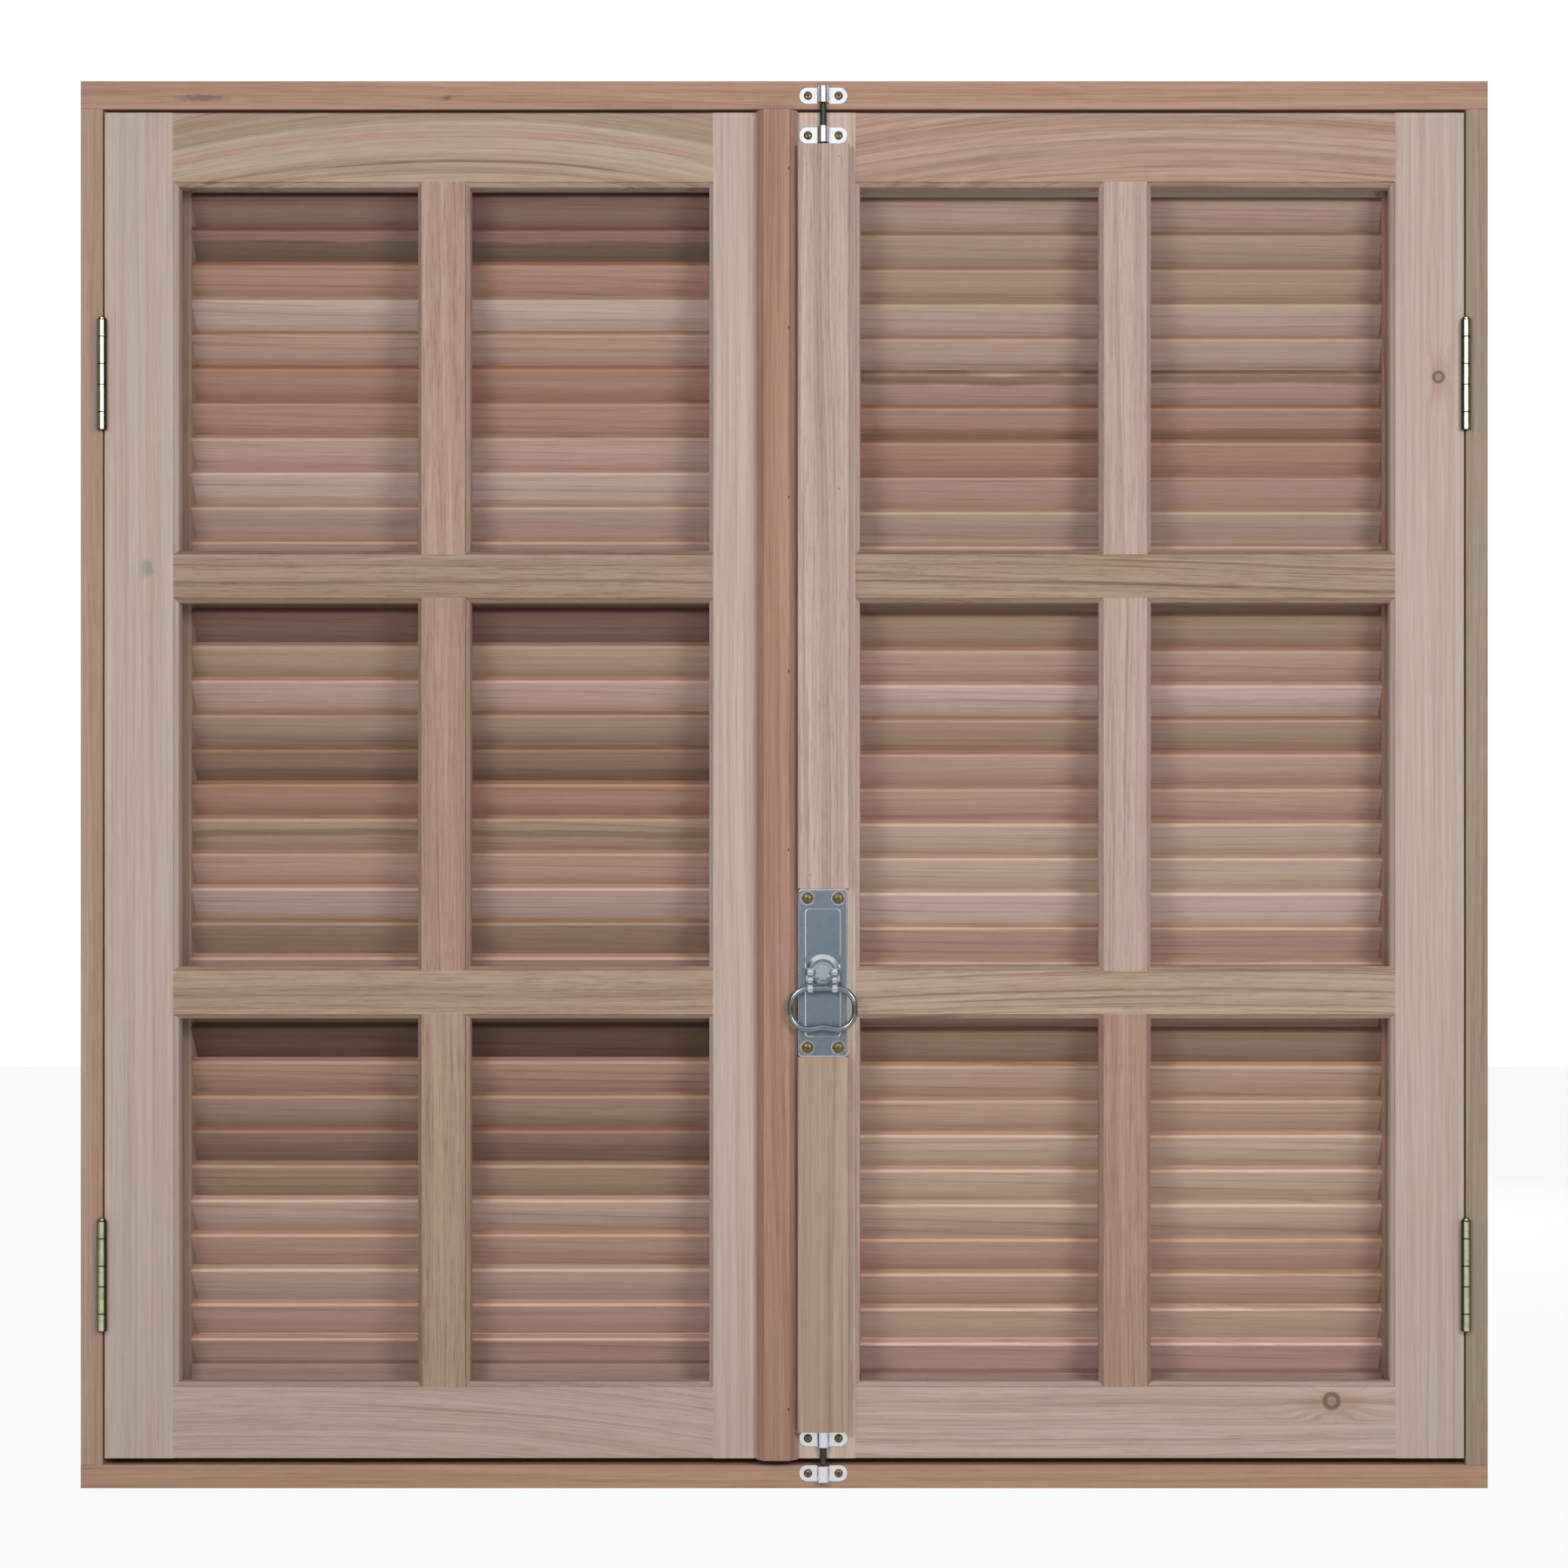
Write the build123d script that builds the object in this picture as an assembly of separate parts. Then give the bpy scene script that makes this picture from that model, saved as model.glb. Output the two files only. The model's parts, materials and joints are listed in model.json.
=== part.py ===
"""Louvred wooden window: a frame, two inner sashes with open panes and two outer louvred shutters.

Millimetres. X runs to the right seen from the room, Y runs from the room to the outside, Z is up.
The origin is the centre of the sill's underside. The room side is at negative Y.
"""

import math
import os

from build123d import *

# Frame
window_width = 1000.0
window_height = 1000.0
head_face = 19.9  # height of the head seen from the room
sill_face = 16.6  # height of the sill seen from the room
jamb_face = 15.5  # width of a jamb seen from the room
stop_width = 12.0  # how far the stop between the two rebates stands out
stop_depth = 12.0  # size of the stop from room to outside
stop_gap = 1.0  # free space between a closed leaf and the stop
tongue_length = 8.0  # stub tongue of a jamb, housed in head and sill
tongue_width = 14.0
tongue_thickness = 8.0
joint_clearance = 0.1  # around every tongue and tenon

# Leaves
leaf_thickness = 30.0
leaf_side_gap = 1.2
leaf_top_gap = 2.5
leaf_bottom_gap = 4.7
meeting_gap = 3.0  # between the two leaves of a pair
arris = 0.6  # small eased edge of the timber
overshoot = 1.0  # how far a cutting shape runs past what it cuts

# Sashes
sash_stile_face = 49.0
sash_top_rail_face = 49.0
sash_bottom_rail_face = 50.7
sash_bar_face = 31.0
nose_width = 3.0  # moulded nose round each pane
quirk_width = 0.5
quirk_depth = 1.6
nose_bevel_depth = 5.0
glass_rebate_start = 16.0  # depth from the room face
glass_rebate_width = 7.0
sash_tenon_length = 28.0
sash_tenon_start = 7.5  # depth from the room face
sash_tenon_thickness = 8.0
rail_tenon_height = 34.0
bar_tenon_height = 20.0
bar_tenon_length = 15.0
muntin_tenon_length = 8.0
bar_names = ("lower_bar", "upper_bar")  # from the lowest up
muntin_names = ("bottom_muntin", "middle_muntin", "top_muntin")

# Shutters
shutter_stile_face = 52.0
shutter_top_rail = 44.0
shutter_bottom_rail_left = 61.0
shutter_bottom_rail_right = 54.5
shutter_arris = 1.5
shutter_tenon_length = 30.0
shutter_tenon_thickness = 9.0
shutter_tenon_height = 30.0
slat_thickness = 7.0
slat_angle = 45.0
slat_pitch = 25.1
slat_recess = 1.0  # between a slat's corner and the leaf's face
slat_housing = 8.0  # depth of a slat's housing in the stile
slat_clearance = 0.2
slat_arris = 0.5
lowest_slat_left = 82.5  # upper corner of the lowest slat above the leaf's foot
lowest_slat_right = 79.1

# Hinges
barrel_radius = 3.5
barrel_proud = 3.7  # from the leaf's face to the pin's axis
pin_radius = 1.5
pin_clearance = 0.05
pin_head_radius = 2.7
pin_head_height = 1.9
pin_head_rounding = 1.1
knuckle_lengths = (12.6, 19.2, 14.9, 19.2, 12.6)
knuckle_gap = 0.2
plate_thickness = 1.2
plate_depth = 22.0
plate_gap = 0.2  # between the two plates of a closed hinge
upper_hinge_drop = 186.8  # from the leaf's top to the hinge's middle
lower_hinge_rise = 130.0  # from the leaf's foot to the hinge's middle
plate_screw_spacing = 27.0
plate_screw_near = 8.0
plate_screw_far = 15.0

# Screws
plate_screw_head_radius = 3.0
plate_screw_head_depth = 1.6
plate_screw_shank_radius = 1.4
plate_screw_length = 12.0
pan_screw_head_radius = 3.0
pan_screw_head_height = 1.3
pan_screw_rim = 0.45  # upright edge of the head, below its dome
pan_screw_shank_radius = 1.5
pan_screw_length = 13.0
screw_clearance = 0.1

# Astragal, on the right sash
astragal_left = -19.4  # left edge, measured from the middle of the window
astragal_width = 29.0
astragal_thickness = 11.0
astragal_bevel_width = 5.4
astragal_edge = 4.5  # height of its side below the bevel
astragal_clearance = 0.3  # over the left sash's face

# Bolt
rod_centre = 27.8  # from the middle of the window
rod_radius = 2.38
rod_offset = 3.4  # from the sash's face to the rod's axis
rod_tip_chamfer = 0.7
rod_keep_clearance = 0.4  # between a withdrawn rod and its keep
cover_width = 36.4
cover_shift = 0.35  # the covers stand a little to the right of the rods
cover_thickness = 12.0
cover_arris = 0.8
cover_groove_clearance = 0.8
cover_guide_gap = 2.4
sheet_thickness = 1.0
guide_width = 34.0
guide_height = 11.4
guide_arch_clearance = 1.0  # round the rod
guide_screw_inset = 6.1  # from the guide's end to its screw
upper_keep_drop = 10.6  # from the frame's top
lower_keep_rise = 10.8  # from the frame's foot
upper_guide_drop = 16.4  # from the leaf's top
lower_guide_rise = 14.3  # from the leaf's foot

# Case
case_width = 35.0
case_height = 118.8
case_depth = 12.6
case_wall = 1.2
case_edge_radius = 1.2
case_corner_radius = 2.4
case_fit = 0.1  # between the case and a cover's end
case_rise = 345.3  # from the leaf's foot to the case's middle
panel_side = 4.8  # from the case's side to its sunk panel
panel_end = 13.9  # from the case's end to its sunk panel
panel_depth = 0.8  # its sides slope as much as it is deep
panel_corner_radius = 3.0
dimple_radius = 5.0
dimple_depth = 1.1
dimple_slope = 1.2  # how far a dimple's side runs inwards
case_screw_inset = 6.6  # from the case's side and end to each screw
case_screw_head_radius = 3.5
case_screw_length = 24.0
collar_foot_radius = 13.0  # the raised round seat behind the handle
collar_top_radius = 9.8
collar_height = 1.6
collar_rounding = 0.5

# Pinion and racks
tooth_module = 1.25
pinion_teeth = 15
pressure_angle = 20.0
tooth_addendum = 0.8  # share of the module, stub teeth
tooth_dedendum = 1.05  # share of the module
tooth_backlash = 0.15
flank_points = 5
gear_thickness = 4.0
gear_gap = 0.3  # between the pinion and the handle's neck
rack_body = 5.0
rack_overrun = 6.5  # toothed length past the point of contact
rack_bridge_gap = 2.6  # between the pinion's teeth and a rack's bridge
rack_bridge_height = 6.0
rack_bridge_foot = 4.0  # bridge past the rod's axis
handle_travel = 90.0  # degrees
spindle_size = 6.0
spindle_fit = 0.08
spindle_end_gap = 0.6

# Handle
neck_radius = 6.0
neck_clearance = 0.15
flange_radius = 7.6
flange_thickness = 1.0
flange_gap = 0.3
yoke_height = 7.0
yoke_thickness = 3.0
boss_radius = 5.3
boss_thickness = 3.4
boss_edge = 0.8
prong_offset = 8.6  # from the hub's axis to a prong's middle
prong_width = 4.6
prong_beads = ((0.6, 2.9), (-5.0, 2.8))  # height from the hub's axis and radius of each rounded swelling
prong_edge = 0.7  # eased edge of each swelling
prong_spine = 3.4  # width of a prong between its swellings
eye_drop = 11.0  # from the hub's axis down to the ring's bar
eye_proud = 19.0  # from the sash's face to the ring's bar
eye_radius = 3.3
ring_wire_radius = 2.1
ring_bar_clearance = 0.15
ring_width = 49.6
ring_height = 33.0
ring_corner_radius = 12.6
ring_bow = 1.3  # rise in the middle of the ring's lower bar

# Worked out from the sizes above
half_width = window_width / 2
leaf_room = leaf_thickness + stop_gap
frame_depth = 2 * leaf_room + stop_depth
room_face = -frame_depth / 2
outside_face = frame_depth / 2
opening_half = half_width - jamb_face
leaf_edge = opening_half - leaf_side_gap
leaf_bottom = sill_face + leaf_bottom_gap
leaf_top = window_height - head_face - leaf_top_gap
half_meeting = meeting_gap / 2
hinge_axis = opening_half - leaf_side_gap / 2
hinge_heights = (leaf_bottom + lower_hinge_rise, leaf_top - upper_hinge_drop)
upper_keep_height = window_height - upper_keep_drop
lower_keep_height = lower_keep_rise
upper_guide_height = leaf_top - upper_guide_drop
lower_guide_height = leaf_bottom + lower_guide_rise
case_centre = leaf_bottom + case_rise
rod_axis = room_face - rod_offset
pitch_radius = tooth_module * pinion_teeth / 2
rod_travel = pitch_radius * math.radians(handle_travel)
rod_top = upper_keep_height - guide_height / 2 - rod_keep_clearance
rod_bottom = lower_keep_height + guide_height / 2 + rod_keep_clearance
ring_bar = room_face - eye_proud
case_front = room_face - case_depth
case_screw_across = case_width - 2 * case_screw_inset
case_screw_along = case_height - 2 * case_screw_inset
panel_width = case_width - 2 * panel_side
panel_height = case_height - 2 * panel_end


def box_between(xs, ys, zs):
    """A box between two values on each axis, in any order."""
    low = [min(pair) for pair in (xs, ys, zs)]
    size = [abs(pair[1] - pair[0]) for pair in (xs, ys, zs)]
    return Pos(*low) * Box(*size, align=(Align.MIN, Align.MIN, Align.MIN))


def grown_box(xs, ys, zs, growth):
    """The same box with every face moved outwards."""
    spans = [(min(pair) - growth, max(pair) + growth) for pair in (xs, ys, zs)]
    return box_between(*spans)


def upright(section, x_edge, direction, y_face, z_low, z_high):
    """A vertical member. The section's first number runs from its edge, the second is the depth."""
    points = [(x_edge + direction * across, y_face + depth) for across, depth in section]
    face = make_face(Polyline(*points, close=True))
    return Pos(0, 0, z_low) * extrude(face, z_high - z_low, dir=(0, 0, 1))


def level(section, z_edge, direction, y_face, x_low, x_high):
    """A horizontal member, drawn as upright() draws a vertical one."""
    points = [(y_face + depth, z_edge + direction * across) for across, depth in section]
    face = Plane.YZ * make_face(Polyline(*points, close=True))
    return Pos(x_low, 0, 0) * extrude(face, x_high - x_low, dir=(1, 0, 0))


def single(shape):
    """The one solid that a chain of cuts leaves."""
    solids = shape.solids()
    return solids[0] if len(solids) == 1 else Compound(children=list(solids))


# Screws


def countersunk_screw(growth=0.0):
    """A flat-headed screw along +Z, its head's top at zero."""
    head = plate_screw_head_radius + growth
    shank = plate_screw_shank_radius + growth
    end = plate_screw_length + growth
    outline = [(0, 0), (head, 0), (shank, plate_screw_head_depth + growth), (shank, end), (0, end)]
    return revolve(Plane.XZ * make_face(Polyline(*outline, close=True)), Axis.Z)


def pan_screw(length, head=pan_screw_head_radius):
    """A domed screw along +Z. Its head stands on the plane at zero."""
    shank = pan_screw_shank_radius
    rise = pan_screw_head_height - pan_screw_rim
    radius = (head**2 + rise**2) / (2 * rise)
    half_turn = math.asin(head / radius) / 2
    crown = (0, -pan_screw_head_height)
    shoulder = (radius * math.sin(half_turn), radius * (1 - math.cos(half_turn)) - pan_screw_head_height)
    rim = (head, -pan_screw_rim)
    dome = ThreePointArc(crown, shoulder, rim)
    sides = Polyline(rim, (head, 0), (shank, 0), (shank, length), (0, length), crown)
    return revolve(Plane.XZ * make_face([dome, sides]), Axis.Z)


def shank_hole(length):
    """The hole for a domed screw's shank, along +Z."""
    return Cylinder(
        pan_screw_shank_radius + screw_clearance,
        length + screw_clearance,
        align=(Align.CENTER, Align.CENTER, Align.MIN),
    )


def placed(shape, x, y, z, direction):
    """The shape moved from the origin, its +Z turned to the direction."""
    return Plane(origin=(x, y, z), z_dir=direction) * shape


# Hinges


def plate_screw_places(side, towards, into_jamb):
    """Position and direction of one plate's screws, for a hinge centred at height zero."""
    face = room_face if towards > 0 else outside_face
    plate_face = hinge_axis + (plate_gap / 2 if into_jamb else -plate_gap / 2)
    push = side if into_jamb else -side
    places = []
    for row, depth in ((-1, plate_screw_near), (0, plate_screw_far), (1, plate_screw_near)):
        position = (side * plate_face, face + towards * depth, row * plate_screw_spacing)
        places.append((position, (push, 0, 0)))
    return places


def hinge_screws(side, towards, into_jamb, growth=0.0):
    """All screws of one pair of hinges into a jamb or into a leaf."""
    screws = []
    for height in hinge_heights:
        for (x, y, z), direction in plate_screw_places(side, towards, into_jamb):
            screws.append(placed(countersunk_screw(growth), x, y, z + height, direction))
    return screws


def hinge_plate_span(into_jamb):
    """The two distances from the window's middle between which a plate lies."""
    near = hinge_axis + (plate_gap / 2 if into_jamb else -plate_gap / 2)
    far = near + (plate_thickness if into_jamb else -plate_thickness)
    return near, far


def hinge_plates(side, towards, into_jamb):
    """The plates of one pair of hinges, with their knuckles."""
    face = room_face if towards > 0 else outside_face
    axis_y = face - towards * barrel_proud
    near, far = hinge_plate_span(into_jamb)
    total = sum(knuckle_lengths)
    plates = []
    for height in hinge_heights:
        top = height + total / 2
        clear_of_barrel = axis_y + towards * (barrel_radius + pin_clearance + knuckle_gap)
        back = face + towards * plate_depth
        plate = box_between((side * near, side * far), (clear_of_barrel, back), (height - total / 2, top))
        for index, length in enumerate(knuckle_lengths):
            if (index % 2 == 0) == into_jamb:
                low = top - length + knuckle_gap / 2
                knuckle = Pos(side * hinge_axis, axis_y, low) * Cylinder(
                    barrel_radius, length - knuckle_gap, align=(Align.CENTER, Align.CENTER, Align.MIN)
                )
                web_reach = (axis_y, clear_of_barrel + towards * overshoot)
                web = box_between((side * near, side * far), web_reach, (low, low + length - knuckle_gap))
                plate = plate + knuckle + web
            top -= length
        bore = Cylinder(pin_radius + pin_clearance, total + knuckle_gap)
        plate = plate - Pos(side * hinge_axis, axis_y, height) * bore
        for (x, y, z), direction in plate_screw_places(side, towards, into_jamb):
            plate = plate - placed(countersunk_screw(screw_clearance), x, y, z + height, direction)
        plates.append(single(plate))
    return plates


def hinge_recesses(side, towards, into_jamb):
    """What is cut from a jamb or a stile for its hinge plates and their screws."""
    face = room_face if towards > 0 else outside_face
    near, far = hinge_plate_span(into_jamb)
    total = sum(knuckle_lengths)
    cuts = []
    for height in hinge_heights:
        cuts.append(
            grown_box(
                (side * near, side * far),
                (face - towards * barrel_proud, face + towards * plate_depth),
                (height - total / 2, height + total / 2),
                joint_clearance,
            )
        )
    return cuts + hinge_screws(side, towards, into_jamb, screw_clearance)


def hinge_pins(side, towards):
    """The headed pins of one pair of hinges."""
    axis_y = (room_face if towards > 0 else outside_face) - towards * barrel_proud
    total = sum(knuckle_lengths)
    pins = []
    for height in hinge_heights:
        low = height - total / 2
        shank = Pos(side * hinge_axis, axis_y, low) * Cylinder(
            pin_radius, total, align=(Align.CENTER, Align.CENTER, Align.MIN)
        )
        head = Pos(side * hinge_axis, axis_y, low + total) * Cylinder(
            pin_head_radius, pin_head_height, align=(Align.CENTER, Align.CENTER, Align.MIN)
        )
        head = fillet(head.edges().sort_by(Axis.Z)[-1], pin_head_rounding)
        pins.append(single(shank + head))
    return pins


# Frame


def frame_section(face_size):
    """Section of a frame member: a rebate for the sashes, the stop, a rebate for the shutters."""
    deep = face_size + stop_width
    return [
        (0, 0),
        (face_size - arris, 0),
        (face_size, arris),
        (face_size, leaf_room),
        (deep, leaf_room),
        (deep, leaf_room + stop_depth),
        (face_size, leaf_room + stop_depth),
        (face_size, frame_depth - arris),
        (face_size - arris, frame_depth),
        (0, frame_depth),
    ]


def jamb_tongue(side, growth=0.0):
    """The stub tongues at a jamb's two ends."""
    middle = half_width - (jamb_face + stop_width) / 2
    xs = (side * (middle - tongue_width / 2), side * (middle + tongue_width / 2))
    ys = (-tongue_thickness / 2, tongue_thickness / 2)
    lower = (sill_face - tongue_length, sill_face + stop_width + tongue_length)
    upper = (
        window_height - head_face - stop_width - tongue_length,
        window_height - head_face + tongue_length,
    )
    return [grown_box(xs, ys, lower, growth), grown_box(xs, ys, upper, growth)]


def build_frame():
    """Head and sill run through, and the jambs stand between them on stub tongues."""
    head = level(frame_section(head_face), window_height, -1, room_face, -half_width, half_width)
    sill = level(frame_section(sill_face), 0, 1, room_face, -half_width, half_width)
    jambs = {}
    for side, name in ((-1, "left"), (1, "right")):
        section = frame_section(jamb_face)
        jamb = upright(section, side * half_width, -side, room_face, sill_face, window_height - head_face)
        jamb = jamb - head - sill
        for tongue in jamb_tongue(side):
            jamb = jamb + tongue
        for cut in hinge_recesses(side, 1, True) + hinge_recesses(side, -1, True):
            jamb = jamb - cut
        jambs[name] = single(jamb)
    for side in (-1, 1):
        for socket in jamb_tongue(side, joint_clearance):
            head = head - socket
            sill = sill - socket
    for height in (upper_keep_height, lower_keep_height):
        for hole in at_guide_screws(shank_hole(pan_screw_length), height):
            head = head - hole
            sill = sill - hole
    return {
        "frame_head": single(head),
        "frame_sill": single(sill),
        "frame_left_jamb": jambs["left"],
        "frame_right_jamb": jambs["right"],
    }


# Sashes


def sash_edge_section(face_size):
    """Section of a stile or rail: moulded nose to the room, glass rebate to the outside."""
    inner = face_size + nose_width
    return [
        (arris, 0),
        (face_size, 0),
        (face_size + quirk_width, quirk_depth),
        (inner, nose_bevel_depth),
        (inner, glass_rebate_start),
        (inner - glass_rebate_width, glass_rebate_start),
        (inner - glass_rebate_width, leaf_thickness),
        (arris, leaf_thickness),
        (0, leaf_thickness - arris),
        (0, arris),
    ]


def sash_bar_section():
    """Section of a bar or muntin, the same on both sides of its middle."""
    half = [
        (sash_bar_face / 2, 0),
        (sash_bar_face / 2 + quirk_width, quirk_depth),
        (sash_bar_face / 2 + nose_width, nose_bevel_depth),
        (sash_bar_face / 2 + nose_width, glass_rebate_start),
        (sash_bar_face / 2 + nose_width - glass_rebate_width, glass_rebate_start),
        (sash_bar_face / 2 + nose_width - glass_rebate_width, leaf_thickness),
    ]
    return half + [(-across, depth) for across, depth in reversed(half)]


def tenon_depths():
    """Where a sash's tenons lie from front to back."""
    start = room_face + sash_tenon_start
    return start, start + sash_tenon_thickness


def sash_levels():
    """Heights of the panes' edges, from the lowest up."""
    low = leaf_bottom + sash_bottom_rail_face + nose_width
    high = leaf_top - sash_top_rail_face - nose_width
    bar = sash_bar_face + 2 * nose_width
    pane = (high - low - len(bar_names) * bar) / len(muntin_names)
    feet = [low + row * (pane + bar) for row in range(len(muntin_names))]
    return [(foot, foot + pane) for foot in feet]


def build_sash(side):
    """One sash. Side is -1 for the left one and 1 for the right one."""
    name = "left_sash" if side < 0 else "right_sash"
    stile = sash_edge_section(sash_stile_face)
    sight = sash_stile_face + nose_width
    rebate = sight - glass_rebate_width
    hinge_stile = upright(stile, side * leaf_edge, -side, room_face, leaf_bottom, leaf_top)
    meeting_stile = upright(stile, side * half_meeting, side, room_face, leaf_bottom, leaf_top)
    x_ends = sorted((side * (leaf_edge - rebate), side * (half_meeting + rebate)))

    panes = sash_levels()
    bar_half = sash_bar_face / 2 + nose_width
    top_rail = level(sash_edge_section(sash_top_rail_face), leaf_top, -1, room_face, *x_ends)
    bottom_rail = level(sash_edge_section(sash_bottom_rail_face), leaf_bottom, 1, room_face, *x_ends)
    blanks = {"bottom_rail": bottom_rail}
    middles = {"bottom_rail": leaf_bottom + sash_bottom_rail_face / 2}
    for bar_name, pane in zip(bar_names, panes):
        middles[bar_name] = pane[1] + bar_half
        blanks[bar_name] = level(sash_bar_section(), middles[bar_name], 1, room_face, *x_ends)
    blanks["top_rail"] = top_rail
    middles["top_rail"] = leaf_top - sash_top_rail_face / 2
    stiles = {"hinge": hinge_stile, "meeting": meeting_stile}
    sight_lines = {
        "hinge": (side * (leaf_edge - sight), side),
        "meeting": (side * (half_meeting + sight), -side),
    }
    nodes = {}
    for part_name, blank in blanks.items():
        is_bar = part_name in bar_names
        height = bar_tenon_height if is_bar else rail_tenon_height
        length = bar_tenon_length if is_bar else sash_tenon_length
        zs = (middles[part_name] - height / 2, middles[part_name] + height / 2)
        member = blank - hinge_stile - meeting_stile
        for key, (sight_x, outwards) in sight_lines.items():
            reach = (sight_x, sight_x + outwards * length)
            root = sight_x - outwards * overshoot
            member = member + box_between((root, reach[1]), tenon_depths(), zs)
            stiles[key] = stiles[key] - grown_box(reach, tenon_depths(), zs, joint_clearance)
        nodes[part_name] = member

    muntin_centre = side * (leaf_edge + half_meeting) / 2
    stops = list(blanks)
    for row, part_name in enumerate(muntin_names):
        low, high = panes[row]
        foot, head = low - glass_rebate_width, high + glass_rebate_width
        muntin = upright(sash_bar_section(), muntin_centre, 1, room_face, foot, head)
        muntin = muntin - blanks[stops[row]] - blanks[stops[row + 1]]
        xs = (muntin_centre - bar_tenon_height / 2, muntin_centre + bar_tenon_height / 2)
        for stop, sight_z, outwards in ((stops[row], low, -1), (stops[row + 1], high, 1)):
            reach = (sight_z, sight_z + outwards * muntin_tenon_length)
            root = sight_z - outwards * overshoot
            muntin = muntin + box_between(xs, tenon_depths(), (root, reach[1]))
            nodes[stop] = nodes[stop] - grown_box(xs, tenon_depths(), reach, joint_clearance)
        nodes[part_name] = muntin

    for cut in hinge_recesses(side, 1, False):
        stiles["hinge"] = stiles["hinge"] - cut
    if side > 0:
        for cut in bolt_holes():
            stiles["meeting"] = stiles["meeting"] - cut
            nodes["top_rail"] = nodes["top_rail"] - cut
            nodes["bottom_rail"] = nodes["bottom_rail"] - cut
    nodes["hinge_stile"] = stiles["hinge"]
    nodes["meeting_stile"] = stiles["meeting"]
    result = {f"{name}_{part_name}": single(member) for part_name, member in nodes.items()}
    result[f"{name}_hinge_plates"] = hinge_plates(side, 1, False)
    result[f"{name}_hinge_screws"] = hinge_screws(side, 1, False)
    return result


# Shutters


def slat_geometry():
    """Width of a slat and the unit steps along its width and its thickness, as (Y, Z)."""
    cosine = math.cos(math.radians(slat_angle))
    sine = math.sin(math.radians(slat_angle))
    width = (leaf_thickness - 2 * slat_recess - slat_thickness * sine) / cosine
    return width, (cosine, -sine), (-sine, -cosine)


def slat_outline(upper_corner, growth=0.0, easing=0.0):
    """A slat's section. The corner is the upper one of its room-side edge, as (Y, Z)."""
    width, along, across = slat_geometry()

    def point(run, drop):
        return (
            upper_corner[0] + along[0] * run + across[0] * drop,
            upper_corner[1] + along[1] * run + across[1] * drop,
        )

    low, high = -growth, width + growth
    top, under = -growth, slat_thickness + growth
    if easing == 0:
        return [point(low, top), point(high, top), point(high, under), point(low, under)]
    return [
        point(low + easing, top),
        point(high - easing, top),
        point(high, top + easing),
        point(high, under - easing),
        point(high - easing, under),
        point(low + easing, under),
        point(low, under - easing),
        point(low, top + easing),
    ]


def slat_bar(upper_corner, x_low, x_high, growth=0.0, easing=0.0):
    """A straight bar of a slat's section between two X values."""
    outline = slat_outline(upper_corner, growth, easing)
    face = Plane.YZ * make_face(Polyline(*outline, close=True))
    return Pos(x_low, 0, 0) * extrude(face, x_high - x_low, dir=(1, 0, 0))


def slat_corners(lowest):
    """Upper room-side corner of every slat, as (Y, Z)."""
    shutter_face = outside_face - leaf_thickness
    edge_run = slat_thickness * math.sin(math.radians(slat_angle))
    y = shutter_face + slat_recess + edge_run
    first = leaf_bottom + lowest
    last = leaf_top - shutter_top_rail - slat_clearance
    count = int((last - first) / slat_pitch) + 1
    return [(y, first + row * slat_pitch) for row in range(count)]


def shutter_stile_section():
    """Section of a shutter's stile, eased along its inner edges."""
    return [
        (0, arris),
        (arris, 0),
        (shutter_stile_face - shutter_arris, 0),
        (shutter_stile_face, shutter_arris),
        (shutter_stile_face, leaf_thickness - shutter_arris),
        (shutter_stile_face - shutter_arris, leaf_thickness),
        (arris, leaf_thickness),
        (0, leaf_thickness - arris),
    ]


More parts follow.
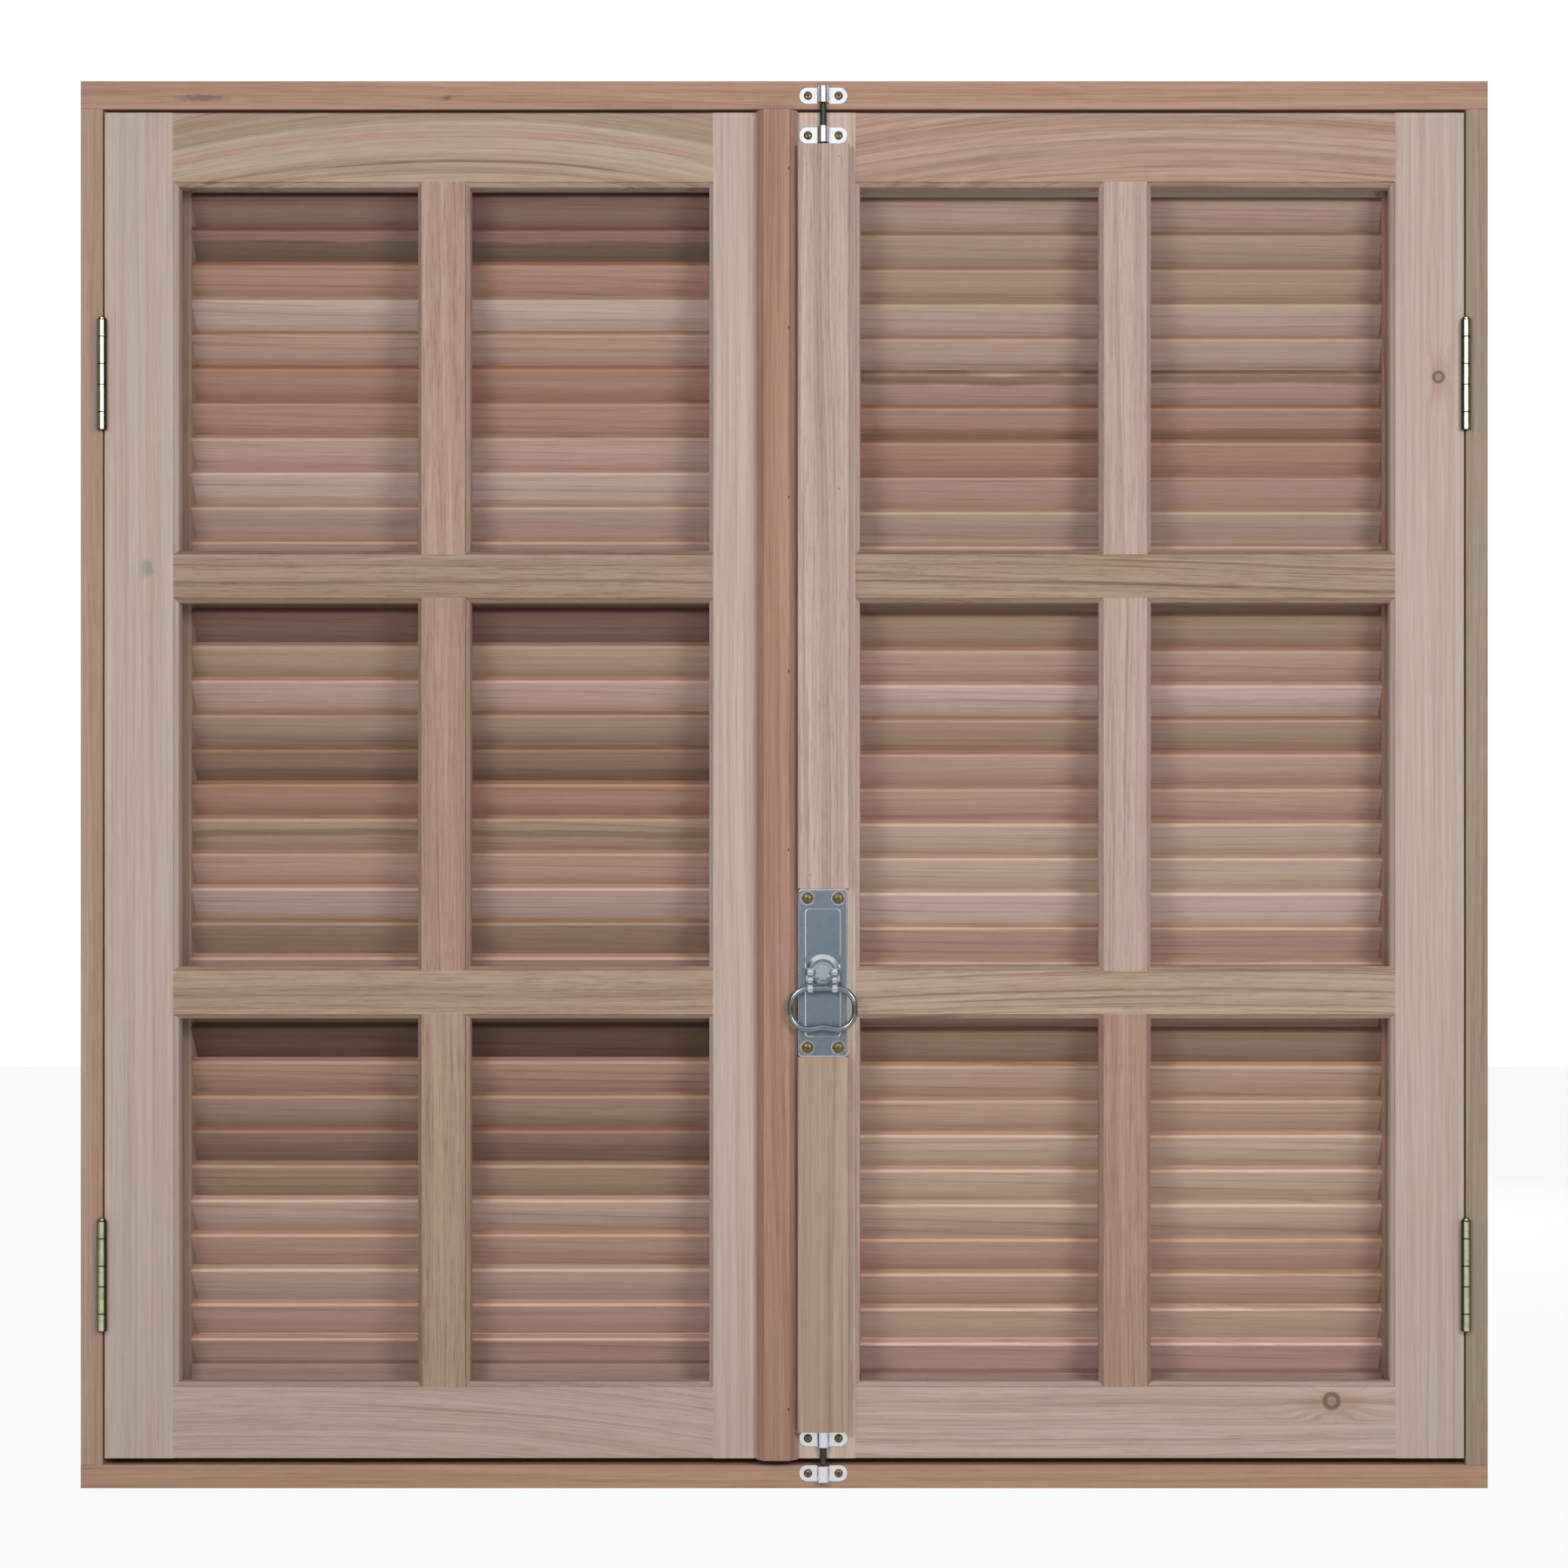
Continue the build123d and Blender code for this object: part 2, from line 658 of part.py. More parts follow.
def build_shutter(side):
    """One louvred shutter. Side is -1 for the left one and 1 for the right one."""
    name = "left_shutter" if side < 0 else "right_shutter"
    bottom_rail_face = shutter_bottom_rail_left if side < 0 else shutter_bottom_rail_right
    corners = slat_corners(lowest_slat_left if side < 0 else lowest_slat_right)
    shutter_face = outside_face - leaf_thickness
    section = shutter_stile_section()
    stiles = {
        "hinge": upright(section, side * leaf_edge, -side, shutter_face, leaf_bottom, leaf_top),
        "meeting": upright(section, side * half_meeting, side, shutter_face, leaf_bottom, leaf_top),
    }
    sight_lines = {
        "hinge": (side * (leaf_edge - shutter_stile_face), side),
        "meeting": (side * (half_meeting + shutter_stile_face), -side),
    }
    x_low, x_high = sorted(sight[0] for sight in sight_lines.values())
    rail_depths = (shutter_face, outside_face)
    bottom_top = leaf_bottom + bottom_rail_face
    rails = {
        "bottom_rail": box_between((x_low, x_high), rail_depths, (leaf_bottom, bottom_top)),
        "top_rail": box_between((x_low, x_high), rail_depths, (leaf_top - shutter_top_rail, leaf_top)),
    }
    middles = {
        "bottom_rail": leaf_bottom + bottom_rail_face / 2,
        "top_rail": leaf_top - shutter_top_rail / 2,
    }

    # The lowest slat lies on a bevel along the bottom rail's outer edge.
    beneath = slat_outline(corners[0], slat_clearance)[3]
    reach = outside_face + overshoot - beneath[0]
    drop = reach * math.tan(math.radians(slat_angle))
    bevel = [beneath, (beneath[0] + reach, beneath[1] - drop), (beneath[0] + reach, beneath[1])]
    cut = Plane.YZ * make_face(Polyline(*bevel, close=True))
    rail_length = x_high - x_low
    rails["bottom_rail"] -= Pos(x_low, 0, 0) * extrude(cut, rail_length, dir=(1, 0, 0))

    tenon_middle = (shutter_face + outside_face) / 2
    ys = (tenon_middle - shutter_tenon_thickness / 2, tenon_middle + shutter_tenon_thickness / 2)
    for rail_name, middle in middles.items():
        zs = (middle - shutter_tenon_height / 2, middle + shutter_tenon_height / 2)
        for key, (sight_x, outwards) in sight_lines.items():
            reach_x = (sight_x, sight_x + outwards * shutter_tenon_length)
            rails[rail_name] += box_between((sight_x - outwards * overshoot, reach_x[1]), ys, zs)
            stiles[key] -= grown_box(reach_x, ys, zs, joint_clearance)

    inset = slat_housing - slat_clearance
    slats = [slat_bar(corner, x_low - inset, x_high + inset, easing=slat_arris) for corner in corners]
    far_low, far_high = x_low - slat_housing, x_high + slat_housing
    housings = [slat_bar(corner, far_low, far_high, growth=slat_clearance) for corner in corners]
    for key in stiles:
        stiles[key] = stiles[key] - housings
    for cut in hinge_recesses(side, -1, False):
        stiles["hinge"] = stiles["hinge"] - cut

    return {
        f"{name}_hinge_stile": single(stiles["hinge"]),
        f"{name}_meeting_stile": single(stiles["meeting"]),
        f"{name}_bottom_rail": single(rails["bottom_rail"]),
        f"{name}_top_rail": single(rails["top_rail"]),
        f"{name}_slats": slats,
        f"{name}_hinge_plates": hinge_plates(side, -1, False),
        f"{name}_hinge_screws": hinge_screws(side, -1, False),
    }


# Keeps and guides for the rods


def rod_guide(height):
    """A stamped strap with rounded ends and an arch over the rod."""
    inner = rod_radius + guide_arch_clearance
    outer = inner + sheet_thickness
    half = guide_width / 2
    top_arc = ThreePointArc((-outer, -rod_offset), (0, -rod_offset - outer), (outer, -rod_offset))
    low_arc = ThreePointArc((inner, -rod_offset), (0, -rod_offset - inner), (-inner, -rod_offset))
    right = Polyline(
        (outer, -rod_offset),
        (outer, -sheet_thickness),
        (half, -sheet_thickness),
        (half, 0),
        (inner, 0),
        (inner, -rod_offset),
    )
    left = Polyline(
        (-inner, -rod_offset),
        (-inner, 0),
        (-half, 0),
        (-half, -sheet_thickness),
        (-outer, -sheet_thickness),
        (-outer, -rod_offset),
    )
    strap = extrude(make_face([top_arc, right, low_arc, left]), guide_height / 2, both=True)
    ends = Plane.XZ * SlotOverall(guide_width, guide_height)
    strap = strap & extrude(ends, rod_offset + 2 * outer, both=True)
    strap = Pos(rod_centre, room_face, height) * strap
    for hole in at_guide_screws(shank_hole(pan_screw_length), height):
        strap = strap - hole
    return single(strap)


def at_guide_screws(shape, height):
    """The shape at both screw places of a keep or guide."""
    seat = room_face - sheet_thickness
    across = guide_width / 2 - guide_screw_inset
    return [placed(shape, rod_centre + step, seat, height, (0, 1, 0)) for step in (-across, across)]


def at_case_screws(shape):
    """The shape at the case's four screw places."""
    seat = case_front + dimple_depth
    shapes = []
    for across in (-case_screw_across / 2, case_screw_across / 2):
        for along in (-case_screw_along / 2, case_screw_along / 2):
            shapes.append(placed(shape, rod_centre + across, seat, case_centre + along, (0, 1, 0)))
    return shapes


def bolt_holes():
    """Every screw hole that the bolt needs in the right sash."""
    holes = at_case_screws(shank_hole(case_screw_length))
    for height in (upper_guide_height, lower_guide_height):
        holes += at_guide_screws(shank_hole(pan_screw_length), height)
    return holes


# Astragal and rod covers


def build_astragal():
    """The bevelled strip on the right sash that covers the gap between the sashes."""
    high = room_face - astragal_thickness
    edge = room_face - astragal_edge
    right = astragal_left + astragal_width
    # Over the left sash its back is cut a little free.
    outline = [
        (astragal_left, room_face - astragal_clearance),
        (-half_meeting, room_face - astragal_clearance),
        (half_meeting, room_face - astragal_clearance),
        (half_meeting, room_face),
        (right, room_face),
        (right, edge),
        (right - astragal_bevel_width, high),
        (astragal_left + astragal_bevel_width, high),
        (astragal_left, edge),
    ]
    face = make_face(Polyline(*outline, close=True))
    return Pos(0, 0, leaf_bottom) * extrude(face, leaf_top - leaf_bottom, dir=(0, 0, 1))


def rod_cover(z_low, z_high):
    """A cover strip with eased edges and a groove at the back for the rod."""
    half = cover_width / 2
    groove = rod_radius + cover_groove_clearance
    front = -cover_thickness
    outline = [
        (-half, 0),
        (-groove, 0),
        (-groove, -rod_offset - groove),
        (groove, -rod_offset - groove),
        (groove, 0),
        (half, 0),
        (half, front + cover_arris),
        (half - cover_arris, front),
        (-half + cover_arris, front),
        (-half, front + cover_arris),
    ]
    face = make_face(Polyline(*outline, close=True))
    return Pos(rod_centre + cover_shift, room_face, z_low) * extrude(face, z_high - z_low, dir=(0, 0, 1))


# Case, pinion and racks


def build_case():
    """The pressed steel case: an open-backed box with a sunk panel and four sunk screw seats."""
    half_w, half_h = case_width / 2, case_height / 2
    plan = Plane.XZ * RectangleRounded(case_width, case_height, case_corner_radius)
    outer = extrude(plan, case_depth, dir=(0, -1, 0))
    outer = fillet(outer.faces().sort_by(Axis.Y)[0].edges(), case_edge_radius)
    inner_w, inner_h = half_w - case_wall, half_h - case_wall
    hollow_front = -case_depth + case_wall
    hollow = box_between((-inner_w, inner_w), (overshoot, hollow_front), (-inner_h, inner_h))
    back_size = (panel_width + 2 * case_wall, panel_height + 2 * case_wall)
    panel_back = Plane.XZ * RectangleRounded(*back_size, panel_corner_radius)
    hollow = hollow - Pos(0, hollow_front, 0) * extrude(panel_back, panel_depth, dir=(0, 1, 0))
    seats = [
        (across, along)
        for across in (-case_screw_across / 2, case_screw_across / 2)
        for along in (-case_screw_along / 2, case_screw_along / 2)
    ]
    out = (0, 1, 0)
    foot = (Align.CENTER, Align.CENTER, Align.MIN)
    boss = Cylinder(dimple_radius + case_wall, dimple_depth, align=foot)
    for across, along in seats:
        hollow = hollow - placed(boss, across, hollow_front, along, out)
    shell = outer - hollow
    rim = RectangleRounded(panel_width, panel_height, panel_corner_radius)
    floor_size = (panel_width - 2 * panel_depth, panel_height - 2 * panel_depth)
    floor = RectangleRounded(*floor_size, panel_corner_radius - panel_depth)
    front = Plane(origin=(0, -case_depth, 0), x_dir=(1, 0, 0), z_dir=(0, -1, 0))
    shell = shell - loft([front.offset(-panel_depth) * floor, front * rim])
    bowl_floor = dimple_radius - dimple_slope
    bowl = Cone(dimple_radius, bowl_floor, dimple_depth, align=foot)
    for across, along in seats:
        shell = shell - placed(bowl, across, -case_depth, along, out)
    collar = Cone(collar_foot_radius, collar_top_radius, collar_height, align=foot)
    collar = fillet(collar.edges().sort_by(Axis.Z)[-1], collar_rounding)
    shell = shell + placed(collar, 0, panel_depth - case_depth, 0, (0, -1, 0))
    shell = shell - placed(Cylinder(neck_radius + neck_clearance, 3 * case_depth), 0, 0, 0, out)
    groove = rod_radius + cover_groove_clearance
    passage = half_h + overshoot
    shell = shell - box_between((-groove, groove), (overshoot, -rod_offset - groove), (-passage, passage))
    shell = Pos(rod_centre, room_face, case_centre) * shell
    for hole in at_case_screws(shank_hole(case_screw_length)):
        shell = shell - hole
    return single(shell)


def pinion_outline():
    """The pinion's teeth: involute flanks between root and tip, a gap centred on +X."""
    pressure = math.radians(pressure_angle)
    base = pitch_radius * math.cos(pressure)
    tip = pitch_radius + tooth_addendum * tooth_module
    root = pitch_radius - tooth_dedendum * tooth_module
    start = max(base, root)
    pitch_turn = math.tan(pressure) - pressure
    half_tooth = (math.pi * tooth_module / 2 - tooth_backlash) / (2 * pitch_radius)
    flank = []
    for step in range(flank_points):
        radius = start + (tip - start) * step / (flank_points - 1)
        angle = math.acos(min(1.0, base / radius))
        flank.append((radius, half_tooth + pitch_turn - (math.tan(angle) - angle)))
    points = []
    for tooth in range(pinion_teeth):
        middle = 2 * math.pi * (tooth + 0.5) / pinion_teeth
        rising = [(root, -flank[0][1])] + [(radius, -turn) for radius, turn in flank]
        falling = [(radius, turn) for radius, turn in reversed(flank)] + [(root, flank[0][1])]
        for radius, turn in rising + falling:
            points.append((radius * math.cos(middle + turn), radius * math.sin(middle + turn)))
    return points


def build_pinion():
    """The pinion with the square hole for the spindle, its axis along Y."""
    teeth = extrude(make_face(Polyline(*pinion_outline(), close=True)), gear_thickness / 2, both=True)
    hole = Box(spindle_size + 2 * spindle_fit, spindle_size + 2 * spindle_fit, 2 * gear_thickness)
    return Pos(rod_centre, rod_axis, case_centre) * (Rot(90, 0, 0) * (teeth - hole))


def rack_outline(phase):
    """Rack at +X of the pinion, its teeth towards -X and shifted by the phase, in parts of a pitch."""
    pitch = math.pi * tooth_module
    slope = math.tan(math.radians(pressure_angle))
    tip_x = pitch_radius - tooth_addendum * tooth_module
    root_x = pitch_radius + tooth_dedendum * tooth_module
    half_pitch_tooth = (pitch / 2 - tooth_backlash) / 2
    half_tip = half_pitch_tooth - tooth_addendum * tooth_module * slope
    half_root = half_pitch_tooth + tooth_dedendum * tooth_module * slope
    low = -rod_travel - rack_overrun
    high = pitch_radius + tooth_module + rack_bridge_gap
    back = root_x + rack_body
    points = [(back, low), (root_x, low)]
    first = math.ceil((low + half_root) / pitch - phase)
    last = math.floor((rack_overrun - half_root) / pitch - phase)
    for tooth in range(first, last + 1):
        middle = (tooth + phase) * pitch
        points += [
            (root_x, middle - half_root),
            (tip_x, middle - half_tip),
            (tip_x, middle + half_tip),
            (root_x, middle + half_root),
        ]
    points += [
        (root_x, high),
        (-rack_bridge_foot, high),
        (-rack_bridge_foot, high + rack_bridge_height),
        (back, high + rack_bridge_height),
    ]
    return points


def build_rod(upwards):
    """A rod with its rack. The lower one is the upper one turned half round the pinion's axis."""
    phase = 0.0 if upwards else 0.5
    profile = Plane.XZ * make_face(Polyline(*rack_outline(phase), close=True))
    rack = extrude(profile, gear_thickness / 2, both=True)
    foot = pitch_radius + tooth_module + rack_bridge_gap + rack_bridge_height / 2
    length = (rod_top - case_centre if upwards else case_centre - rod_bottom) - foot
    rod = Cylinder(rod_radius, length, align=(Align.CENTER, Align.CENTER, Align.MIN))
    rod = chamfer(rod.edges().sort_by(Axis.Z)[-1], rod_tip_chamfer)
    shape = rack + Pos(0, 0, foot) * rod
    if not upwards:
        shape = Rot(0, 180, 0) * shape
    return single(Pos(rod_centre, rod_axis, case_centre) * shape)


# Handle


def build_hub():
    """Spindle, neck, flange, yoke, front boss and the two beaded prongs whose eyes hold the ring."""
    out = (0, -1, 0)
    foot = (Align.CENTER, Align.CENTER, Align.MIN)
    panel_front = case_depth - panel_depth
    flange_back = panel_front + collar_height + flange_gap
    yoke_back = flange_back + flange_thickness
    boss_back = yoke_back + yoke_thickness
    gear_front = rod_offset + gear_thickness / 2 + gear_gap
    spindle = Box(spindle_size, spindle_size, gear_front - spindle_end_gap, align=foot)
    hub = placed(spindle, 0, -spindle_end_gap, 0, out)
    hub = hub + placed(Cylinder(neck_radius, flange_back - gear_front, align=foot), 0, -gear_front, 0, out)
    hub = hub + placed(Cylinder(flange_radius, flange_thickness, align=foot), 0, -flange_back, 0, out)
    reach = prong_offset + prong_width / 2
    hub = hub + box_between((-reach, reach), (-yoke_back, -boss_back), (-yoke_height / 2, yoke_height / 2))
    boss = Cylinder(boss_radius, boss_thickness, align=foot)
    boss = chamfer(boss.edges().sort_by(Axis.Z)[-1], boss_edge)
    hub = hub + placed(boss, 0, -boss_back, 0, out)
    swellings = [*prong_beads, (-eye_drop, eye_radius)]
    for side in (-1, 1):
        xs = (side * prong_offset - prong_spine / 2, side * prong_offset + prong_spine / 2)
        hub = hub + box_between(xs, (-yoke_back, -eye_proud), (-yoke_height / 2, prong_beads[0][0]))
        hub = hub + box_between(xs, (eye_radius / 2 - eye_proud, -eye_proud), (-eye_drop, prong_beads[0][0]))
        for height, radius in swellings:
            bead = Cylinder(radius, prong_width)
            bead = chamfer(bead.edges().filter_by(GeomType.CIRCLE), prong_edge)
            hub = hub + placed(bead, side * prong_offset, -eye_proud, height, (1, 0, 0))
    bar = Rot(0, 90, 0) * Cylinder(ring_wire_radius + ring_bar_clearance, ring_width)
    hub = hub - Pos(0, -eye_proud, -eye_drop) * bar
    return single(Pos(rod_centre, room_face, case_centre) * hub)


def ring_path():
    """The ring's centre line in the XZ plane, its bar at height zero, made of tangent lines and arcs."""
    half = ring_width / 2 - ring_wire_radius
    depth = ring_height - 2 * ring_wire_radius
    corner = ring_corner_radius
    flat = half - corner
    low = -depth
    diagonal = corner * math.sqrt(0.5)
    s_radius = (flat**2 + ring_bow**2) / (4 * ring_bow)
    s_angle = math.asin(flat / 2 / s_radius)
    s_rise = s_radius * (1 - math.cos(s_angle / 2))
    s_run = s_radius * math.sin(s_angle / 2)
    edges = [Line((-flat, 0), (flat, 0))]
    for side in (1, -1):
        top_centre = (side * flat, -corner)
        low_centre = (side * flat, low + corner)
        upper_bend = (top_centre[0] + side * diagonal, top_centre[1] + diagonal)
        lower_bend = (low_centre[0] + side * diagonal, low_centre[1] - diagonal)
        bow_start = (side * flat, low)
        bow_middle = (side * flat / 2, low + ring_bow / 2)
        bow_top = (0, low + ring_bow)
        edges.append(ThreePointArc((side * flat, 0), upper_bend, (side * half, -corner)))
        edges.append(Line((side * half, -corner), (side * half, low + corner)))
        edges.append(ThreePointArc((side * half, low + corner), lower_bend, bow_start))
        edges.append(ThreePointArc(bow_start, (side * (flat - s_run), low + s_rise), bow_middle))
        edges.append(ThreePointArc(bow_middle, (side * s_run, low + ring_bow - s_rise), bow_top))
    return Plane.XZ * Wire(Curve(edges).edges())


def build_ring():
    """The ring of round wire, closed through the two eyes of the handle."""
    path = ring_path()
    start = Plane(origin=path @ 0, z_dir=path % 0)
    ring = sweep(start * Circle(ring_wire_radius), path=path)
    return single(Pos(rod_centre, ring_bar, case_centre - eye_drop) * ring)


def build_bolt():
    """What stands on the right sash: the astragal, the covers and the whole bolt."""
    case_top = case_centre + case_height / 2
    case_foot = case_centre - case_height / 2
    upper_end = upper_guide_height - guide_height / 2 - cover_guide_gap
    lower_end = lower_guide_height + guide_height / 2 + case_fit
    screws = at_case_screws(pan_screw(case_screw_length, case_screw_head_radius))
    for height in (upper_guide_height, lower_guide_height):
        screws += at_guide_screws(pan_screw(pan_screw_length), height)
    return {
        "astragal": build_astragal(),
        "rod_cover_upper": single(rod_cover(case_top + case_fit, upper_end)),
        "rod_cover_lower": single(rod_cover(lower_end, case_foot - case_fit)),
        "cremone_case": build_case(),
        "upper_rod_guide": rod_guide(upper_guide_height),
        "lower_rod_guide": rod_guide(lower_guide_height),
        "bolt_screws": screws,
        "handle_hub": build_hub(),
        "drive_pinion": single(build_pinion()),
        "pull_ring": build_ring(),
        "upper_rod": build_rod(True),
        "lower_rod": build_rod(False),
    }


def build_frame_fittings():
    """The jamb halves of the hinges, their pins, the keeps and all screws in the frame."""
    plates = {"sash": [], "shutter": []}
    pins = {"sash": [], "shutter": []}
    screws = []
    for side in (-1, 1):
        for name, towards in (("sash", 1), ("shutter", -1)):
            plates[name] += hinge_plates(side, towards, True)
            pins[name] += hinge_pins(side, towards)
            screws += hinge_screws(side, towards, True)
    for height in (upper_keep_height, lower_keep_height):
        screws += at_guide_screws(pan_screw(pan_screw_length), height)
    return {
        "sash_hinge_jamb_plates": plates["sash"],
        "sash_hinge_pins": pins["sash"],
        "shutter_hinge_jamb_plates": plates["shutter"],
        "shutter_hinge_pins": pins["shutter"],
        "upper_keep": rod_guide(upper_keep_height),
        "lower_keep": rod_guide(lower_keep_height),
        "frame_screws": screws,
    }


def build_window():
    nodes = build_frame()
    nodes.update(build_frame_fittings())
    for side in (-1, 1):
        nodes.update(build_sash(side))
        nodes.update(build_shutter(side))
    nodes.update(build_bolt())
    return nodes


def write_parts(nodes):
    os.makedirs("parts", exist_ok=True)
    for name, shape in nodes.items():
        if isinstance(shape, list):
            shape = Compound(children=[single(piece) for piece in shape])
        export_step(shape, f"parts/{name}.step")


if __name__ == "__main__":
    window = build_window()
    write_parts(window)
    print(len(window), "nodes")
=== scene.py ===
import json
import math
import random

import bmesh
import bpy
from mathutils import Matrix, Vector


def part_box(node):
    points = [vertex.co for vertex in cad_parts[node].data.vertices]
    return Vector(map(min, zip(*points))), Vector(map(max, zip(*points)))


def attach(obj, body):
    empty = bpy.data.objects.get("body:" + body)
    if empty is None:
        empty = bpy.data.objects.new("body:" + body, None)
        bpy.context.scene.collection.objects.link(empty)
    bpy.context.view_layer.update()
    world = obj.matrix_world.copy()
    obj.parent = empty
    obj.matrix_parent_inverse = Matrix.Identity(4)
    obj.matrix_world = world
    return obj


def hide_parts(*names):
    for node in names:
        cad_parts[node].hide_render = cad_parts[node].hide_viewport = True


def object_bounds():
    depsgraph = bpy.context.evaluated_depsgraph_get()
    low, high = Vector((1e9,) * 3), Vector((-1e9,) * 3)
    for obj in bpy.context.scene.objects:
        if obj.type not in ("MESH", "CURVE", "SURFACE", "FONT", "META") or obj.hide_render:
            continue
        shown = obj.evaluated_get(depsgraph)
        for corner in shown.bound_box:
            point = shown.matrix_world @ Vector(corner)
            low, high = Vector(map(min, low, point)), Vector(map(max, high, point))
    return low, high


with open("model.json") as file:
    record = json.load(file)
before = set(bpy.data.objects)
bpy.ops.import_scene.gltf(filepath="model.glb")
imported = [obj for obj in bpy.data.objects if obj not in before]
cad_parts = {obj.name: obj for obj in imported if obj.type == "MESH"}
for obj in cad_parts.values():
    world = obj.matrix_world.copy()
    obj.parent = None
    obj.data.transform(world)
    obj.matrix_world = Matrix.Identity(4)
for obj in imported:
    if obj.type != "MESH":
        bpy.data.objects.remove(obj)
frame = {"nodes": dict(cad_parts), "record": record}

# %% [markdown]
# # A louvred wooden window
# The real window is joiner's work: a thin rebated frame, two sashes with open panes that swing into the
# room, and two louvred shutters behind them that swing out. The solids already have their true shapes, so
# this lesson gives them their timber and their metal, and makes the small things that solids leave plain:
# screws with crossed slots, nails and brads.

solid_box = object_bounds()
nodes = frame["nodes"]
body_of_node = {n: body for body, members in frame["record"]["behaviour"]["bodies"].items() for n in members}
mm = 0.001
print("solids:", len(nodes), "from", tuple(solid_box[0]), "to", tuple(solid_box[1]))

# %% [markdown]
# ## Camera
# The window was seen almost square on, from a point a little right of its middle and below it. A view camera
# keeps the uprights parallel by shifting its back, and the scene's camera does the same with its two shifts.
# Its distance sets how much of a pane's side shows.

# %% Camera
room_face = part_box("frame_head")[0].y
camera_distance = 2.3
eye = Vector((0.089, room_face - camera_distance, 0.4136))
lens = bpy.data.cameras.new("view_camera")
lens.sensor_width = 36
lens.lens = 74.3
lens.shift_x = -0.080
lens.shift_y = 0.078
camera = bpy.data.objects.new("view_camera", lens)
camera.location = eye
camera.rotation_euler = (math.radians(90), 0, 0)
bpy.context.scene.collection.objects.link(camera)
bpy.context.scene.camera = camera
print("camera at", tuple(round(c, 3) for c in eye))

# %% [markdown]
# ## Light
# The shadows in the panes tell where the lamps stood. A bar's shadow falls to both sides of it, and moves
# outwards from pane to pane as it would from lamps a little left and right of the camera. A rail's shadow is
# short in the top panes and long in the bottom ones, so both lamps hung at the height of the top rail. They
# are square soft boxes. A third small lamp low behind the camera, and the world, fill the louvres, which
# look down. A last soft box behind the window lights the shutters' outer side.

# %% Light
middle = (solid_box[0] + solid_box[1]) / 2
middle.y = 0


def soft_box(name, place, size, power):
    """A square lamp that looks at the middle of the window."""
    data = bpy.data.lights.new(name, "AREA")
    data.shape = "SQUARE"
    data.size = size
    data.energy = power
    lamp = bpy.data.objects.new(name, data)
    lamp.location = place
    lamp.rotation_euler = (Vector(place) - middle).to_track_quat("Z", "Y").to_euler()
    bpy.context.scene.collection.objects.link(lamp)
    return lamp


lamp_distance = 1.8
lamp_height = 0.93
fill_distance = 2.6
soft_box("left_soft_box", (-0.60, room_face - lamp_distance, lamp_height), 0.5, 12.9)
soft_box("right_soft_box", (0.93, room_face - lamp_distance, lamp_height), 0.5, 15.9)
low_fill = soft_box("low_fill", (eye.x, room_face - fill_distance, 0.35), 0.38, 6.0)
# the round hub of the bolt would show this lamp as a white spot
low_fill.visible_glossy = False
back_box = soft_box("back_box", (0.5, 2.4, 1.15), 1.0, 30.0)
back_box.visible_camera = False
bpy.context.scene.view_settings.view_transform = "Standard"

# %% [markdown]
# ## Sums with sockets
# A finish is easier to read as a sum than as a web of boxes. One small class holds a socket and turns
# plus, minus, times and the rest into Math nodes. One method adds any other kind of node: its settings come
# first, then what goes into its sockets.


# %% Sums with sockets
class Wire:
    """An output socket that can be used in Python sums."""

    def __init__(self, finish, socket):
        self.finish = finish
        self.socket = socket

    def math(self, operation, *values):
        return self.finish.add("ShaderNodeMath", *values, operation=operation)

    def __add__(self, other):
        return self.math("ADD", self, other)

    def __sub__(self, other):
        return self.math("SUBTRACT", self, other)

    def __rsub__(self, other):
        return self.math("SUBTRACT", other, self)

    def __mul__(self, other):
        return self.math("MULTIPLY", self, other)

    def __truediv__(self, other):
        return self.math("DIVIDE", self, other)

    def __pow__(self, other):
        return self.math("POWER", self, other)

    __radd__ = __add__
    __rmul__ = __mul__

    def size(self):
        return self.math("ABSOLUTE", self)

    def whole(self):
        return self.math("FLOOR", self)

    def most(self, other):
        return self.math("MAXIMUM", self, other)

    def step(self, low, high):
        """0 below low, 1 above high, and a smooth rise between them."""
        return self.finish.add(
            "ShaderNodeMapRange", self, low, high, 0.0, 1.0, interpolation_type="SMOOTHSTEP"
        )


